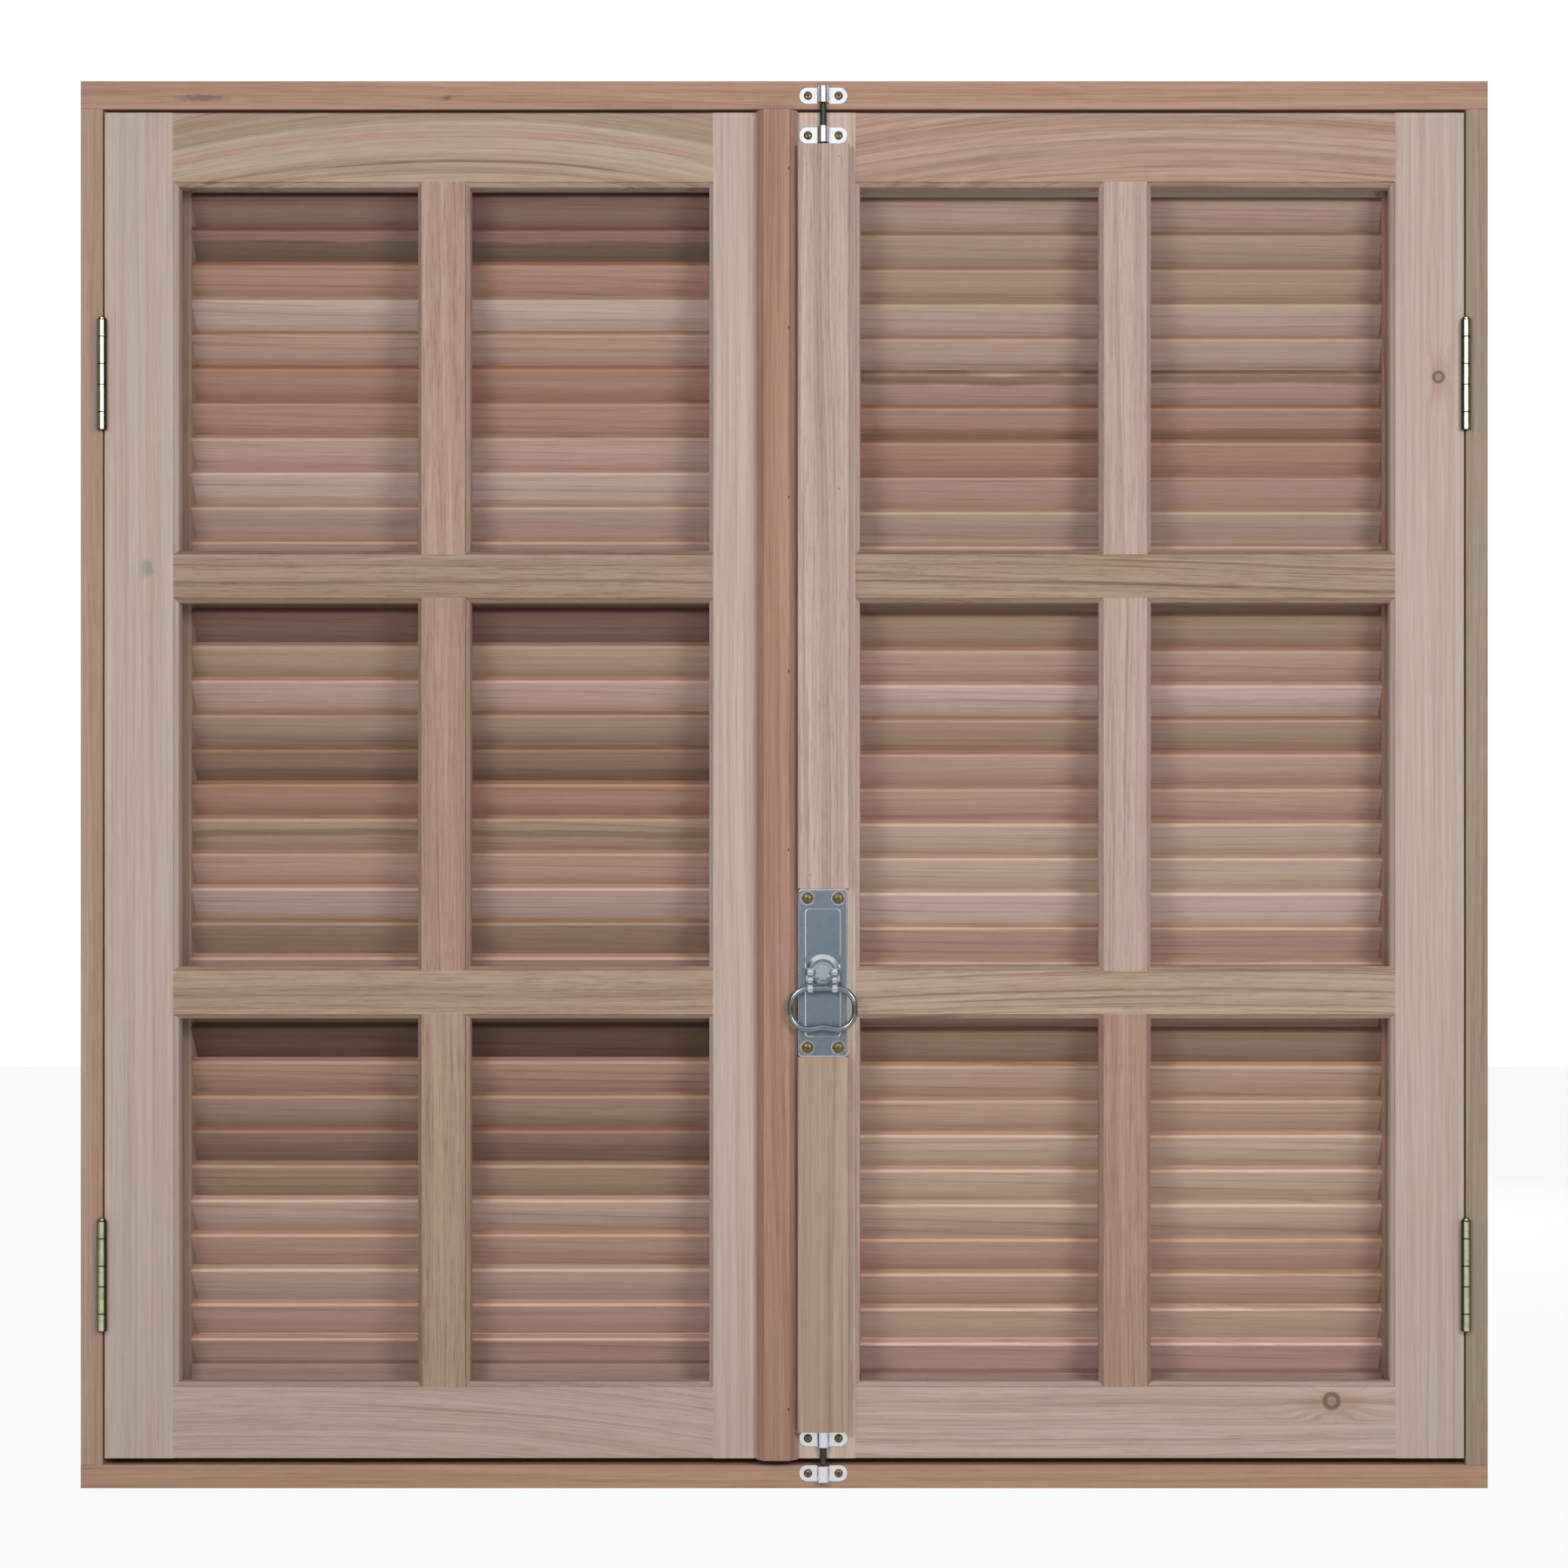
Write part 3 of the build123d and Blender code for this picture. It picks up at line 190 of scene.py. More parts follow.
class Finish:
    """One material, or the world, and the nodes that make it."""

    def __init__(self, name, owner=None):
        self.material = owner or bpy.data.materials.new(name)
        self.material.use_nodes = True
        self.tree = self.material.node_tree
        self.tree.nodes.clear()

    def add(self, kind, *values, out=0, stops=None, hard=False, named=None, **settings):
        """Adds a node: settings first, then the values or wires of its sockets, in order or by name."""
        node = self.tree.nodes.new(kind)
        for key, value in settings.items():
            setattr(node, key, value)
        if stops:
            ramp = node.color_ramp
            ramp.interpolation = "CONSTANT" if hard else "LINEAR"
            while len(ramp.elements) < len(stops):
                ramp.elements.new(0.5)
            for element, (position, colour) in zip(ramp.elements, stops):
                element.position = position
                element.color = (*colour, 1)
        for key, value in [*enumerate(values), *(named or {}).items()]:
            if isinstance(value, Wire):
                self.tree.links.new(value.socket, node.inputs[key])
            elif value is not None:
                node.inputs[key].default_value = value
        return Wire(self, node.outputs[out]) if node.outputs else None

    def split(self, vector):
        """The three numbers of a vector."""
        parts = self.add("ShaderNodeSeparateXYZ", vector)
        return [Wire(self, socket) for socket in parts.socket.node.outputs]

    def place(self):
        """Where a point of the piece is, as three numbers in metres."""
        return self.split(self.add("ShaderNodeTexCoord", out="Object"))

    def point(self, x, y, z):
        return self.add("ShaderNodeCombineXYZ", x, y, z)

    def noise(self, point, scale=1.0, detail=2.0, rough=0.5):
        return self.add("ShaderNodeTexNoise", point, None, scale, detail, rough)

    def waves(self, value, scale, detail=2.0, rough=0.5):
        """Noise along one line."""
        return self.add("ShaderNodeTexNoise", None, value, scale, detail, rough, noise_dimensions="1D")

    def mix(self, share, first, second, blend="MIX"):
        """A colour between two others."""
        sockets = {0: share, 6: self.colour(first), 7: self.colour(second)}
        return self.add("ShaderNodeMix", out=2, named=sockets, data_type="RGBA", blend_type=blend)

    def colour(self, value):
        return value if isinstance(value, Wire) else (*value[:3], 1)

    def seen(self):
        """1 for a ray that the camera, a mirror or glass sends, and 0 for a ray that carries light."""
        path = self.add("ShaderNodeLightPath").socket.node
        camera_ray, glossy, through = (
            Wire(self, path.outputs[f"Is {kind} Ray"]) for kind in ("Camera", "Glossy", "Transmission")
        )
        return camera_ray.most(glossy).most(through)

    def shine(self, colour, roughness, metallic=0.0, normal=None, **plain):
        """Ends the finish in one Principled shader."""
        sockets = {"Base Color": self.colour(colour), "Roughness": roughness, "Metallic": metallic}
        if normal is not None:
            sockets["Normal"] = normal
        sockets.update(plain)
        shader = self.add("ShaderNodeBsdfPrincipled", named=sockets)
        self.add("ShaderNodeOutputMaterial", shader)
        return self.material


def linear(red, green, blue):
    """A colour as a paint chart writes it, 0 to 255, as shader numbers."""
    parts = [c / 255 for c in (red, green, blue)]
    return tuple(c / 12.92 if c < 0.04 else ((c + 0.055) / 1.055) ** 2.4 for c in parts)


print("a mid grey of the chart is", round(linear(128, 128, 128)[0], 3), "in the shader")

# %% [markdown]
# ## Background
# The world gives a weak fill light, and shows plain white to the camera and to metal. Bright metal needs
# something dark to show as well, so dark cards stand at the sides and behind the camera, where a studio is
# dark. They are seen by reflections alone.

# %% Background
world = bpy.data.worlds.new("pale_room")
bpy.context.scene.world = world
room = Finish("pale_room", world)
fill = room.add("ShaderNodeBackground", (1, 1, 1, 1), 0.18)
white = room.add("ShaderNodeBackground", (1, 1, 1, 1), 1.0)
room.add("ShaderNodeOutputWorld", room.add("ShaderNodeMixShader", room.seen(), fill, white))


def flat_piece(name, size, place):
    """A flat square that lies level, before it is turned."""
    square = bmesh.new()
    bmesh.ops.create_grid(square, x_segments=1, y_segments=1, size=size / 2)
    mesh = bpy.data.meshes.new(name)
    square.to_mesh(mesh)
    square.free()
    piece = bpy.data.objects.new(name, mesh)
    piece.location = place
    bpy.context.scene.collection.objects.link(piece)
    return piece


card_black = Finish("card_black").shine(linear(52, 54, 58), 0.9)
# how large each card is, where its middle is, and how it is turned
cards = {
    "left_card": (3.0, (-1.7, -1.9, 0.6), (0, 90, 0)),
    "right_card": (3.0, (1.7, -1.9, 0.6), (0, 90, 0)),
    "camera_card": (1.7, (0.1, -3.4, 0.45), (90, 0, 0)),
}
for name, (size, place, turn) in cards.items():
    card = flat_piece(name, size, place)
    card.rotation_euler = [math.radians(angle) for angle in turn]
    card.data.materials.append(card_black)
    card.visible_camera = False
    card.visible_diffuse = False
    card.visible_shadow = False

# %% [markdown]
# ## Floor
# The window stands on a plain pale floor, which keeps its soft shadow. The camera sees it mostly as a white
# glow, with a little lit chalk left in it for the shadow, and the window gets its light from the chalk alone.

# %% Floor
floor_drop = 0.5 * mm
glow_share = 0.92
floor = flat_piece("floor", 12.0, (0, 0, -floor_drop))
pale = Finish("pale_floor")
chalk = pale.add("ShaderNodeBsdfDiffuse", (0.85, 0.85, 0.85, 1))
glow = pale.add("ShaderNodeEmission", (1, 1, 1, 1), 1.0)
pale.add("ShaderNodeOutputMaterial", pale.add("ShaderNodeMixShader", pale.seen() * glow_share, chalk, glow))
floor.data.materials.append(pale.material)

# %% [markdown]
# ## Timber
# The window is left as it came from the plane, in one pale rose-brown wood whose boards differ: some are
# pale, some straw or olive, some red. A picture of wood couldn't run round the edges of a solid, so the wood
# is noise in space, stretched along the grain. It has soft bands a few millimetres wide, thin darker lines
# where a year ended, which close into arches where the saw met them flat, and fine straight fibres. Ends
# that were cut across the grain are darker.

# %% The tones of the boards
tones = {
    "pale": linear(187, 170, 158),
    "blush": linear(183, 163, 152),
    "cream": linear(176, 157, 141),
    "rose": linear(175, 150, 136),
    "clay": linear(168, 142, 127),
    "warm": linear(164, 132, 115),
    "peach": linear(175, 142, 122),
    "red": linear(171, 140, 125),
    "sand": linear(168, 146, 128),
    "dun": linear(158, 137, 121),
    "olive": linear(158, 142, 121),
    "ash": linear(181, 157, 145),
    "brown": linear(154, 131, 114),
    "umber": linear(138, 116, 100),
    "slate": linear(116, 104, 90),
    "dusk": linear(141, 114, 102),
    # the two darkest slat tones are painted shade, for the shadow of a bar on a slat
    "mulberry": linear(127, 101, 90),
    "bark": linear(102, 82, 71),
}
heartwood = linear(112, 97, 80)
mineral_grey = linear(122, 112, 98)
knot_bark = linear(96, 80, 66)
knot_heart = linear(140, 118, 100)
smudge_black = linear(84, 76, 70)
# what a mark multiplies the colour under it by
knot_halo = (0.86, 0.72, 0.62)
year_line = (0.66, 0.55, 0.48)
fibre_shade = (0.80, 0.74, 0.70)
band_shade = (0.84, 0.79, 0.75)
sun_shade = (1.10, 1.10, 1.09)
pore_shade = (0.74, 0.66, 0.60)
end_shade = (0.72, 0.66, 0.60)


def figure(finish, body, along, side, depth, bands=0.5, years=0.4, pores=0.4, streaks=0.5, tilt=0.008):
    """The figure of the wood over a plain colour, and the height of its fibres. Bands, years, pores and
    streaks say how strongly each shows, and tilt how far the grain runs off the board's own line."""

    def grain(waves_along, waves_across, detail, rough=0.5):
        """Noise with so many waves per metre along the grain and across it."""
        return finish.noise(
            finish.point(along * waves_along, side * waves_across, depth * waves_across), 1.0, detail, rough
        )

    drift = grain(1.3, 6, 1.0) - 0.5
    ripple = grain(14, 70, 2.0) - 0.5
    arch = side + depth * 0.4 + drift * 0.05 + ripple * 0.0016 + along * tilt
    broad = finish.waves(arch, 85.0, 3.0, 0.65)
    late = finish.waves(arch + 5.0, 120.0, 1.0)
    streak = grain(5, 420, 3.0, 0.65)
    fibre = grain(38, 900, 3.0, 0.7)
    body = finish.mix(broad.step(0.44, 0.64) * bands, body, band_shade, "MULTIPLY")
    body = finish.mix((1 - broad.step(0.32, 0.50)) * bands, body, sun_shade, "MULTIPLY")
    edge = 1 - (late - 0.5).size().step(0.0, 0.022)
    body = finish.mix(edge * streak.step(0.40, 0.54) * years, body, year_line, "MULTIPLY")
    body = finish.mix(streak.step(0.40, 0.64) * streaks, body, fibre_shade, "MULTIPLY")
    body = finish.mix(fibre.step(0.50, 0.66) * pores, body, pore_shade, "MULTIPLY")
    body = finish.mix((1 - fibre.step(0.34, 0.50)) * 0.5, body, sun_shade, "MULTIPLY")
    return body, fibre * 0.5 + streak * 0.5


def planed(finish, wood, height):
    """Ends a finish as planed wood, dull and with a faint relief."""
    relief = finish.add("ShaderNodeBump", 0.3, 0.0003, named={"Height": height})
    return finish.shine(wood, 0.60 + height * 0.14, 0.0, relief, **{"Specular IOR Level": 0.25})


def timber(name, run, tone, cut, shade=1.0, bow=None, stripes=(), knots=(), smudges=(), mineral=0.0, **grain):
    """A planed board. Run is the axis of its grain, and cut says where in the tree it was sawn.

    Bow is the middle of an arch in the grain and how strongly it bends. A stripe follows the grain: where it
    lies across it, half its width, its tone and its strength. A knot is a place along and across, and a
    radius. A smudge is a place, half its length, half its height and its strength. Grain sets the figure."""
    finish = Finish(name)
    x, y, z = finish.place()
    along, side = (x, z) if run == "X" else (z, x)
    body = tuple(c * shade for c in tones[tone])
    plain_along, plain_side = along, side
    if bow:
        side = side + (along - bow[0]) * (along - bow[0]) * bow[1]
    rings = []
    for knot_along, knot_side, radius in knots:
        off_along = plain_along - knot_along
        off_side = plain_side - knot_side
        away = (off_along * off_along + off_side * off_side) ** 0.5 / radius
        halo = ((off_along / (radius * 5.5)) ** 2.0 + (off_side / (radius * 1.7)) ** 2.0) ** 0.5
        bend = 1 - halo.step(0.0, 1.6)
        side = side + off_side * bend * 1.5
        rings.append((away, halo))
    sway = finish.noise(finish.point(along * 6 + cut, side * 40, y * 40), 1.0, 2.0, 0.6) - 0.5
    for middle_side, half_width, stripe_tone, strength in stripes:
        off = (side - middle_side + sway * 0.006).size() / half_width
        body = finish.mix((1 - off.step(0.2, 1.0)) * strength, body, tones[stripe_tone])
    wood, height = figure(finish, body, along + cut * 1.37, side + cut * 0.83, y + cut * 0.61, **grain)
    for away, halo in rings:
        wood = finish.mix((1 - halo.step(0.25, 1.1)) * 0.75, wood, knot_halo, "MULTIPLY")
        ring = (1 - (away - 0.8).size().step(0.12, 0.45)) * 0.8
        wood = finish.mix(ring, wood, knot_bark)
        wood = finish.mix((1 - away.step(0.2, 0.6)) * 0.6, wood, knot_heart)
    if mineral:
        patch = finish.noise(finish.point(along * 2.2 + cut, side * 55, y * 55), 1.0, 3.0, 0.65)
        wood = finish.mix(patch.step(0.55, 0.74) * mineral, wood, mineral_grey)
    for place_along, place_side, half_length, half_height, strength in smudges:
        off_along = (plain_along - place_along) / half_length
        off_side = (plain_side - place_side) / half_height
        away = (off_along * off_along + off_side * off_side) ** 0.5
        broken = finish.noise(finish.point(plain_along * 160, plain_side * 420, y * 300), 1.0, 2.0, 0.6)
        wood = finish.mix((1 - (away + broken - 0.4).step(0.3, 1.0)) * strength, wood, smudge_black)
    normal = finish.split(finish.add("ShaderNodeTexCoord", out="Normal"))
    across = (normal[0] if run == "X" else normal[2]).size().step(0.75, 0.95)
    wood = finish.mix(across, wood, end_shade, "MULTIPLY")
    return planed(finish, wood, height)


def dress(node_name, material):
    """Gives a solid its finish."""
    slots = nodes[node_name].data.materials
    slots.clear()
    slots.append(material)


# %% [markdown]
# Each board has its own place in the tree, so no two show the same figure. Some have a tale of their own:
# a knot, a dark mineral streak, or a smudge from the workshop.

# %% Timber for every board
# where a smudge lies along the grain and across it, half its length and height, and its strength
head_stains = [(-0.414, 0.988, 0.026, 0.004, 0.6), (-0.24, 0.988, 0.006, 0.003, 0.7)]
stile_stain = [(0.6536, -0.453, 0.009, 0.007, 0.35)]
# the hole is real, and its dark is painted shade for the hole's depth
cover_hole = [(0.709, 0.0391, 0.0016, 0.0009, 1.0)]
# where a knot lies along the grain and across it, and its radius
stile_knot = [(0.7898, 0.465, 0.0042)]
rail_knot = [(0.389, 0.062, 0.006)]
# where a stripe lies across the grain, half its width, its tone and its strength
arch_stripes = [(0.980, 0.011, "olive", 0.7), (0.9635, 0.0022, "red", 0.8), (0.9375, 0.0022, "dun", 0.7)]
left_bar_stripes = [
    (0.6438, 0.0020, "slate", 0.6),
    (0.6560, 0.0012, "slate", 0.5),
    (0.6620, 0.0018, "pale", 0.5),
]
right_bar_stripes = [
    (0.6460, 0.0016, "slate", 0.6),
    (0.6570, 0.0010, "slate", 0.5),
    (0.6380, 0.0022, "rose", 0.5),
]
low_bar_stripes = [
    (0.3540, 0.0014, "umber", 0.7),
    (0.3440, 0.0010, "umber", 0.6),
    (0.3610, 0.0020, "pale", 0.5),
]
calm = dict(bands=0.3, years=0.15, pores=0.2)
arched = dict(bands=1.0, years=0.9, bow=(-0.235, 0.56), stripes=arch_stripes)
left_bar = dict(pores=0.9, years=0.8, stripes=left_bar_stripes)
right_bar = dict(shade=1.07, pores=0.8, years=0.8, bow=(0.05, 0.06), stripes=right_bar_stripes)
right_low_bar = dict(pores=0.7, years=0.9, bow=(0.30, 0.10), stripes=low_bar_stripes)
# a board, the axis of its grain, its tone, and what sets it apart
boards = [
    ("frame_head", "X", "peach", dict(shade=0.98, smudges=head_stains)),
    ("frame_sill", "X", "peach", {}),
    ("frame_left_jamb", "Z", "clay", dict(shade=1.08)),
    ("frame_right_jamb", "Z", "olive", dict(shade=0.96)),
    ("left_sash_hinge_stile", "Z", "pale", dict(calm, smudges=stile_stain)),
    ("left_sash_meeting_stile", "Z", "pale", dict(bands=0.4, years=0.2, pores=0.2)),
    ("left_sash_top_rail", "X", "cream", arched),
    ("left_sash_bottom_rail", "X", "blush", dict(bands=0.35, years=0.5, bow=(-0.35, 0.25))),
    ("left_sash_upper_bar", "X", "dun", left_bar),
    ("left_sash_lower_bar", "X", "sand", dict(pores=0.8, mineral=0.5)),
    ("left_sash_top_muntin", "Z", "rose", dict(pores=0.8)),
    ("left_sash_middle_muntin", "Z", "clay", dict(pores=0.7)),
    ("left_sash_bottom_muntin", "Z", "sand", dict(pores=0.8)),
    ("right_sash_hinge_stile", "Z", "pale", dict(calm, knots=stile_knot)),
    # partly the stile's own pale tone, partly painted light: its shade lifts the strip beside the rod cover
    # out of the cover's shadow
    ("right_sash_meeting_stile", "Z", "pale", dict(shade=1.16)),
    ("right_sash_top_rail", "X", "rose", dict(bands=0.9, years=0.7, bow=(0.32, 0.35), mineral=0.3)),
    ("right_sash_bottom_rail", "X", "pale", dict(knots=rail_knot, mineral=0.5)),
    ("right_sash_upper_bar", "X", "dun", right_bar),
    ("right_sash_lower_bar", "X", "cream", right_low_bar),
    ("right_sash_top_muntin", "Z", "blush", dict(pores=0.6)),
    ("right_sash_middle_muntin", "Z", "blush", dict(pores=0.5)),
    ("right_sash_bottom_muntin", "Z", "clay", dict(pores=0.7)),
    ("astragal", "Z", "warm", dict(shade=1.02)),
    ("rod_cover_upper", "Z", "blush", dict(bands=0.9, pores=0.7, smudges=cover_hole)),
    ("rod_cover_lower", "Z", "sand", dict(shade=1.07, pores=0.3)),
    ("left_shutter_hinge_stile", "Z", "sand", {}),
    ("left_shutter_meeting_stile", "Z", "brown", {}),
    ("left_shutter_bottom_rail", "X", "rose", {}),
    ("left_shutter_top_rail", "X", "rose", {}),
    ("right_shutter_hinge_stile", "Z", "warm", {}),
    ("right_shutter_meeting_stile", "Z", "rose", {}),
    ("right_shutter_bottom_rail", "X", "rose", {}),
    ("right_shutter_top_rail", "X", "olive", {}),
]
for cut, (node_name, run, tone, options) in enumerate(boards, 1):
    dress(node_name, timber(node_name + "_timber", run, tone, cut, **options))
print("boards dressed:", len(boards))

# %% [markdown]
# ## Louvres
# The slats of a shutter are short offcuts, so each has a tone of its own, and some were sawn where the dark
# heartwood begins. All slats of a shutter share one mesh and one finish, yet a slat can be told by a sum: on a
# slope of 45 degrees, height plus depth is nearly the same all over one slat and grows by the pitch to the
# next. That sum, rounded down, is the slat's number, and a ramp with hard stops turns the number into a tone.
# The thin edge that looks up gets a painted highlight, with a line of painted shade behind it.

# %% Louvres
# the thirteenth and the twenty-fifth slats from the top lie just under the bars, and their dark tones, on both
# shutters, are painted shade for the bars' shadow
# from the top slat down
slat_tones = {
    "left_shutter_slats": """dusk dusk red pale rose warm red ash pale ash ash sand mulberry sand ash dun
        umber warm sand rose blush brown ash blush bark clay dun dusk dun blush rose blush ash ash""".split(),
    "right_shutter_slats": """rose sand sand cream rose clay warm warm clay cream ash cream brown clay blush
        brown clay clay cream cream pale rose rose blush umber sand sand cream cream cream clay sand
        cream ash""".split(),
}
# painted light: how much a shutter's slats are lifted at its top and at its foot, the foot most, for light
# that reaches the louvres from below, and their tint
painted_slat_light = {"left_shutter_slats": (1.08, 1.37), "right_shutter_slats": (1.10, 1.62)}
slat_tints = {"left_shutter_slats": (1.0, 0.985, 0.995), "right_shutter_slats": (0.98, 0.985, 1.03)}
# slat, counted from the top, the share of its width between which the heartwood lies, and its strength
slat_hearts = {
    "left_shutter_slats": {
        1: (0.0, 0.73, 0.8),
        16: (0.0, 0.5, 0.4),
        18: (0.52, 0.7, 0.5),
        27: (0.42, 0.64, 0.3),
    },
    "right_shutter_slats": {5: (0.72, 0.95, 0.6), 6: (0.0, 0.50, 0.4), 14: (0.52, 0.64, 0.2)},
}
# painted highlight and painted shade: what the thin front edge of a slat, and the strip just behind it,
# multiply its colour by
painted_edge_highlight = (1.30, 1.14, 1.00)
painted_edge_shade = (0.76, 0.68, 0.63)


def steps_by_slat(finish, number, values):
    """A ramp with one hard step for each slat, counted from the bottom. Equal neighbours share a step."""
    count = len(values)
    stops = [(i / count, c) for i, c in enumerate(values) if i == 0 or c != values[i - 1]]
    return finish.add("ShaderNodeValToRGB", (number + 0.5) / count, stops=stops, hard=True)


def louvre_timber(node_name, cut):
    """The wood of all slats of one shutter."""
    low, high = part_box(node_name)
    names = slat_tones[node_name][::-1]
    count = len(names)
    width = high.y - low.y
    pitch = (high.z - low.z - width) / (count - 1)
    centre_y, centre_z = low.y + width / 2, low.z + width / 2
    finish = Finish(node_name + "_timber")
    x, y, z = finish.place()
    number = ((y + z - (centre_y + centre_z)) / pitch + 0.5).whole()
    share = (z - y - (centre_z - centre_y) - number * pitch) / (2 * width) + 0.5
    body = steps_by_slat(finish, number, [tones[n] for n in names])
    # painted light: each slat's tone is lifted, more towards the foot of the shutter
    painted_top_light, painted_foot_light = painted_slat_light[node_name]
    shade = number * ((painted_top_light - painted_foot_light) / (count - 1)) + painted_foot_light
    body = finish.mix(1.0, body, finish.point(*(shade * t for t in slat_tints[node_name])), "MULTIPLY")
    hearts = slat_hearts[node_name]
    spans = [hearts.get(count - 1 - i, (0.0, 0.0, 0.0)) for i in range(count)]
    low_edge, high_edge, strength = finish.split(steps_by_slat(finish, number, spans))
    wobble = finish.noise(finish.point(x * 9, number * 3.1, 0.0), 1.0, 4.0, 0.65) * 0.3 - 0.15
    heart = (share + wobble - low_edge).step(-0.04, 0.04) * (high_edge - share - wobble).step(-0.02, 0.04)
    body = finish.mix(heart * strength, body, heartwood)
    along = x + number * 0.73 + cut
    side = (z - y) * 0.707 + number * 0.19 + cut
    wood, height = figure(
        finish, body, along, side, (y + z) * 0.707, bands=0.3, years=0.45, pores=0.22, streaks=0.3, tilt=0.02
    )
    normal = finish.split(finish.add("ShaderNodeTexCoord", out="Normal"))
    # painted highlight on the front of each slat's upward edge, and painted shade on the strip behind it
    looks_up = normal[2].step(0.3, 0.5)
    off_middle = y + z - (centre_y + centre_z) - number * pitch
    behind = off_middle.step(-2.0 * mm, -1.0 * mm)
    wood = finish.mix(looks_up * (1 - behind), wood, painted_edge_highlight, "MULTIPLY")
    wood = finish.mix(looks_up * behind, wood, painted_edge_shade, "MULTIPLY")
    wood = finish.mix(normal[0].size().step(0.75, 0.95), wood, end_shade, "MULTIPLY")
    print(node_name, "slats:", count, "pitch:", round(pitch / mm, 2), "mm")
    return planed(finish, wood, height)


for cut, node_name in enumerate(slat_tones):
    dress(node_name, louvre_timber(node_name, cut))

# %% [markdown]
# ## Metal
# The hinges and screws are yellow zinc, the keeps and guides bright zinc, and the bolt's plate a dull
# blue-grey zinc with a faint speckle from its bath. The rods are plain dark steel. A finish can have a second
# colour for faces that turn away from the room: a painted highlight on the pressed edges of the plate and the
# hub, and a painted dark reflection on the round sides of a hinge's barrel. The joints between a hinge's
# knuckles get black rings of painted shade.


# %% Metal
def metal(
    name, colour, roughness, speckle=0.0, speckle_size=900.0, tarnish=None, tarnish_share=0.0,
    painted_reflection=None, turn=(0.80, 0.985), ends=(),
):
    """Plated or bare steel. Speckle darkens and lights it, and tarnish is a second colour in patches. The
    painted reflection is the colour painted on a face that turns away from the room, and turn says where it
    starts and ends. Ends are the heights at which a hinge's knuckles stop, where painted shade darkens the
    joint between two."""
    finish = Finish(name)
    place = finish.add("ShaderNodeTexCoord", out="Object")
    grain = finish.noise(place, speckle_size, 2.0, 0.6)
    patch = finish.noise(place, 140.0, 3.0, 0.6).step(0.45, 0.7)
    dull = tuple(c * (1 - speckle) for c in colour)
    body = finish.mix(grain.step(0.35, 0.65), dull, colour)
    if tarnish:
        body = finish.mix(patch * tarnish_share, body, tarnish)
    gloss = roughness + grain * 0.08
    # painted reflection: faces that turn away from the room get a second colour, lighter or darker
    if painted_reflection:
        turned = 1 - finish.split(finish.add("ShaderNodeTexCoord", out="Normal"))[1].size().step(*turn)
        body = finish.mix(turned, body, painted_reflection)
        gloss = gloss - turned * 0.1
    height = finish.place()[2] if ends else None
    # painted shade: a black ring at each knuckle joint
    for end in ends:
        body = finish.mix(1 - (height - end).size().step(0.2 * mm, 0.7 * mm), body, painted_joint_shade)
    relief = finish.add("ShaderNodeBump", 0.12, 0.0001, named={"Height": grain})
    return finish.shine(body, gloss, 1.0, relief)


def knuckle_ends(node_name):
    """The heights at which the knuckles of some hinge plates stop, from their points nearest the room."""
    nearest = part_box(node_name)[0].y + 0.1 * mm
    return sorted({round(v.co.z, 4) for v in nodes[node_name].data.vertices if v.co.y < nearest})


# painted shade for the joints between knuckles
painted_joint_shade = linear(40, 36, 26)
ends = knuckle_ends("sash_hinge_jamb_plates")
print("knuckles end at", ends)
# the round sides of the barrels get a painted dark reflection
yellow_zinc = metal(
    "yellow_zinc", linear(206, 204, 172), 0.27, 0.12, 700, linear(150, 142, 92), 0.5,
    painted_reflection=linear(74, 66, 44), turn=(0.80, 0.92), ends=ends,
)
screw_zinc = metal("screw_zinc", linear(122, 108, 72), 0.36, 0.3, 1400, linear(74, 62, 38), 0.6)
bright_zinc = metal("bright_zinc", linear(222, 226, 232), 0.24, 0.06)
# the plate's pressed edges get a painted highlight
plate_zinc = metal(
    "plate_zinc", linear(132, 146, 159), 0.27, 0.26, 1700, linear(112, 123, 134), 0.35,
    painted_reflection=linear(236, 240, 244),
)
ring_zinc = metal("ring_zinc", linear(128, 133, 140), 0.17, 0.1, 1500)
# the hub's rounded edges get a painted highlight
hub_zinc = metal("hub_zinc", linear(174, 180, 186), 0.28, 0.15, 1700, painted_reflection=linear(190, 197, 204))
rod_steel = metal("rod_steel", linear(74, 74, 76), 0.34, 0.3)
for node_name in nodes:
    if "plates" in node_name or "pins" in node_name:
        dress(node_name, yellow_zinc)
for node_name in ("upper_keep", "lower_keep", "upper_rod_guide", "lower_rod_guide"):
    dress(node_name, bright_zinc)
dress("cremone_case", plate_zinc)
dress("handle_hub", hub_zinc)
dress("pull_ring", ring_zinc)
for node_name in ("upper_rod", "lower_rod", "drive_pinion"):
    dress(node_name, rod_steel)

# %% [markdown]
# ## Screws with crossed slots
# A real screw head is struck with a tapered cross. Each screw here is a copy of its solid with that cross cut
# out of its head. The cutter starts as a small cube whose four sides are pulled out into arms, and its deep
# end is drawn in. A Boolean modifier then takes it away, which keeps the screw's own form.


# %% Screws with crossed slots
def islands(mesh):
    """The points of each separate solid in a mesh."""
    left = set(mesh.verts)
    while left:
        group = [left.pop()]
        for vert in group:
            for edge in vert.link_edges:
                other = edge.other_vert(vert)
                if other in left:
                    left.remove(other)
                    group.append(other)
        yield [v.co.copy() for v in group]


def off_axis(point, centre, axis):
    """How far a point lies from a line along an axis through a centre."""
    away = point - centre
    away[axis] = 0
    return away.length


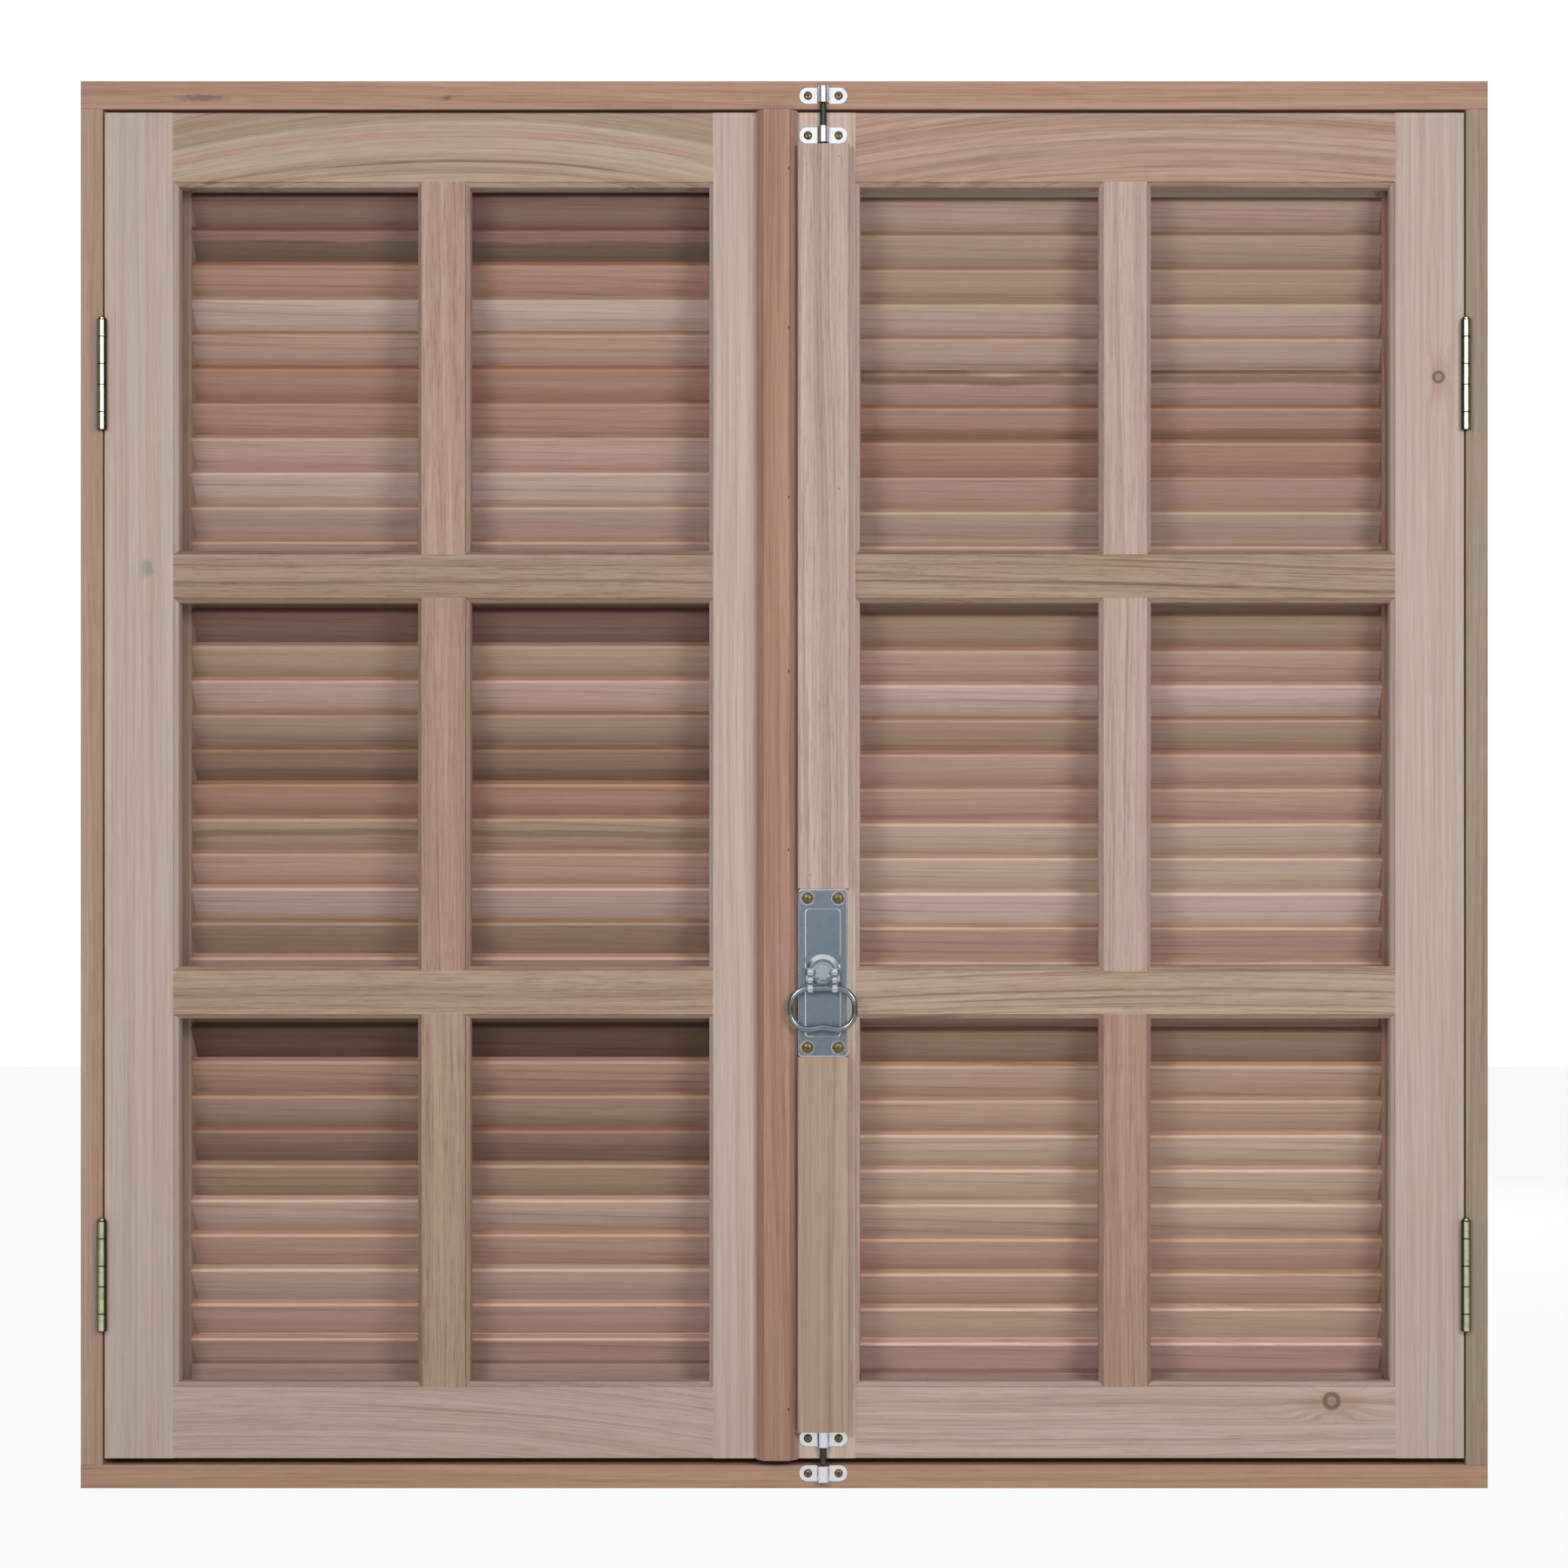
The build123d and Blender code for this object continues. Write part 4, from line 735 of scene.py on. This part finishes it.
def head_of(points):
    """The middle of a screw's head, the way that it faces, and the head's radius."""
    spans = [max(p[i] for p in points) - min(p[i] for p in points) for i in range(3)]
    axis = spans.index(max(spans))
    centre = Vector([(max(p[i] for p in points) + min(p[i] for p in points)) / 2 for i in range(3)])
    radius = max(spans[i] for i in range(3) if i != axis) / 2
    wide = [p[axis] for p in points if (p - centre).length > 0 and off_axis(p, centre, axis) > radius * 0.9]
    facing = 1 if sum(wide) / len(wide) > centre[axis] else -1
    centre[axis] += facing * spans[axis] / 2
    way = Vector([facing if i == axis else 0 for i in range(3)])
    return centre, way, radius


def add_cross(cutter, centre, way, radius, turn):
    """A tapered cross, sunk into a head."""
    arm, half, depth, proud = radius * 0.62, radius * 0.11, radius * 0.42, radius * 0.3
    core = bmesh.ops.create_cube(cutter, size=1.0)["verts"]
    bmesh.ops.scale(cutter, vec=(2 * half, 2 * half, depth + proud), verts=core)
    bmesh.ops.translate(cutter, vec=(0, 0, (proud - depth) / 2), verts=core)
    sides = [f for f in {f for v in core for f in v.link_faces} if abs(f.normal.z) < 0.5]
    arms = bmesh.ops.extrude_discrete_faces(cutter, faces=sides)["faces"]
    for face in arms:
        bmesh.ops.translate(cutter, vec=face.normal * (arm - half), verts=face.verts)
    verts = set(core) | {v for face in arms for v in face.verts}
    taper = 0.55
    for v in verts:
        if v.co.z < 0:
            v.co.x *= taper
            v.co.y *= taper
    turned = way.to_track_quat("Z", "Y").to_matrix().to_4x4() @ Matrix.Rotation(turn, 4, "Z")
    bmesh.ops.transform(cutter, matrix=Matrix.Translation(centre) @ turned, verts=list(verts))


def mesh_piece(name, shape, material, body):
    """Ends a bmesh as a piece of the window."""
    mesh = bpy.data.meshes.new(name)
    shape.to_mesh(mesh)
    shape.free()
    mesh.materials.append(material)
    piece = bpy.data.objects.new(name, mesh)
    bpy.context.scene.collection.objects.link(piece)
    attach(piece, body)
    return piece


weld_distance = 1e-6


def cross_slotted(node_name, seed):
    """A copy of a node of screws with crossed heads, which stands for the node."""
    turns = random.Random(seed)
    copy = bmesh.new()
    copy.from_mesh(nodes[node_name].data)
    bmesh.ops.remove_doubles(copy, verts=copy.verts, dist=weld_distance)
    cutter = bmesh.new()
    heads = sorted((head_of(points) for points in islands(copy)), key=lambda h: tuple(h[0]))
    for centre, way, radius in heads:
        add_cross(cutter, centre, way, radius, turns.uniform(0, math.pi / 2))
    knife_mesh = bpy.data.meshes.new("knife")
    bmesh.ops.recalc_face_normals(cutter, faces=cutter.faces)
    cutter.to_mesh(knife_mesh)
    cutter.free()
    knife = bpy.data.objects.new("knife", knife_mesh)
    bpy.context.scene.collection.objects.link(knife)
    piece = mesh_piece(node_name + "_crossed", copy, screw_zinc, body_of_node[node_name])
    cut = piece.modifiers.new("cross", "BOOLEAN")
    cut.operation = "DIFFERENCE"
    cut.solver = "EXACT"
    cut.object = knife
    bpy.context.view_layer.update()
    shaped = bpy.data.meshes.new_from_object(piece.evaluated_get(bpy.context.evaluated_depsgraph_get()))
    piece.modifiers.clear()
    piece.data = shaped
    bpy.data.objects.remove(knife)
    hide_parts(node_name)
    return len(heads)


screw_nodes = sorted(n for n in nodes if "screws" in n)
print("crossed heads:", {n: cross_slotted(n, seed) for seed, n in enumerate(screw_nodes)})

# %% [markdown]
# ## Nails and brads
# The astragal is nailed to the right sash, and the thin grooved covers of the rods are held by brads. The
# nails' heads are oval and sunk level, so each shows as a short dark slit along the grain. A few glazing
# brads were left standing in the rebates. Each is a short cone with a rounded rim.


# %% Nails and brads
nail_iron = metal("nail_iron", linear(62, 54, 50), 0.5, 0.3)
brad_zinc = metal("brad_zinc", linear(150, 146, 140), 0.34, 0.2)


def nail(place, way, radius, proud, long=1.0):
    """The head of a nail that stands a little proud. Long stretches it along the height of the window."""
    head = bmesh.new()
    top_radius = radius * 0.85
    bmesh.ops.create_cone(
        head, cap_ends=True, segments=12, radius1=radius, radius2=top_radius, depth=2 * proud
    )
    painted_reflection = [e for e in head.edges if all(v.co.z > 0 for v in e.verts)]
    bmesh.ops.bevel(head, geom=painted_reflection, offset=proud * 0.3, segments=2, profile=0.5, affect="EDGES", material=-1)
    turned = Vector(way).to_track_quat("Z", "Y").to_matrix().to_4x4()
    bmesh.ops.transform(head, matrix=turned, verts=head.verts)
    bmesh.ops.scale(head, vec=(1, 1, long), verts=head.verts)
    bmesh.ops.translate(head, vec=place, verts=head.verts)
    bmesh.ops.recalc_face_normals(head, faces=head.faces)
    mesh = bpy.data.meshes.new("nail")
    head.to_mesh(mesh)
    head.free()
    return mesh


def nails(name, body, material, heads):
    """One piece from many nails: place, way it faces, radius, how proud it stands, how long it is."""
    shape = bmesh.new()
    for head in heads:
        one = nail(*head)
        shape.from_mesh(one)
        bpy.data.meshes.remove(one)
    return mesh_piece(name, shape, material, body)


to_room = (0, -1, 0)
up = (0, 0, 1)
brad_line = -0.024
astragal_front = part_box("astragal")[0].y
cover_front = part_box("rod_cover_upper")[0].y
rail_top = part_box("left_sash_bottom_rail")[1].z
# the heights of the nails' slits, and the places of the brads across and up
slit_heights = (0.0577, 0.4536, 0.5799, 0.7030, 0.8231, 0.9358)
nail_line = 0.0036
slits = [((nail_line, astragal_front, z), to_room, 0.45 * mm, 0.12 * mm, 3.2) for z in slit_heights]
nails("astragal_nails", "right_sash", nail_iron, slits)
brad_places = [
    (0.0170, 0.9386), (0.0391, 0.9442), (0.0188, 0.4358), (0.0373, 0.4382),
    (0.0182, 0.3003), (0.0373, 0.2991), (0.0157, 0.0554), (0.0416, 0.0569),
]
brads = [((x, cover_front, z), to_room, 0.8 * mm, 0.12 * mm) for x, z in brad_places]
nails("cover_brads", "right_sash", brad_zinc, brads)
standing = {"left_sash": (-0.397, -0.3136, -0.1885), "right_sash": (0.1014,)}
for body, places in standing.items():
    heads = [((x, brad_line, rail_top), up, 0.6 * mm, 0.6 * mm) for x in places]
    nails(body + "_glazing_brads", body, brad_zinc, heads)
print("nails:", len(slits), "brads:", len(brads), "glazing brads:", sum(map(len, standing.values())))
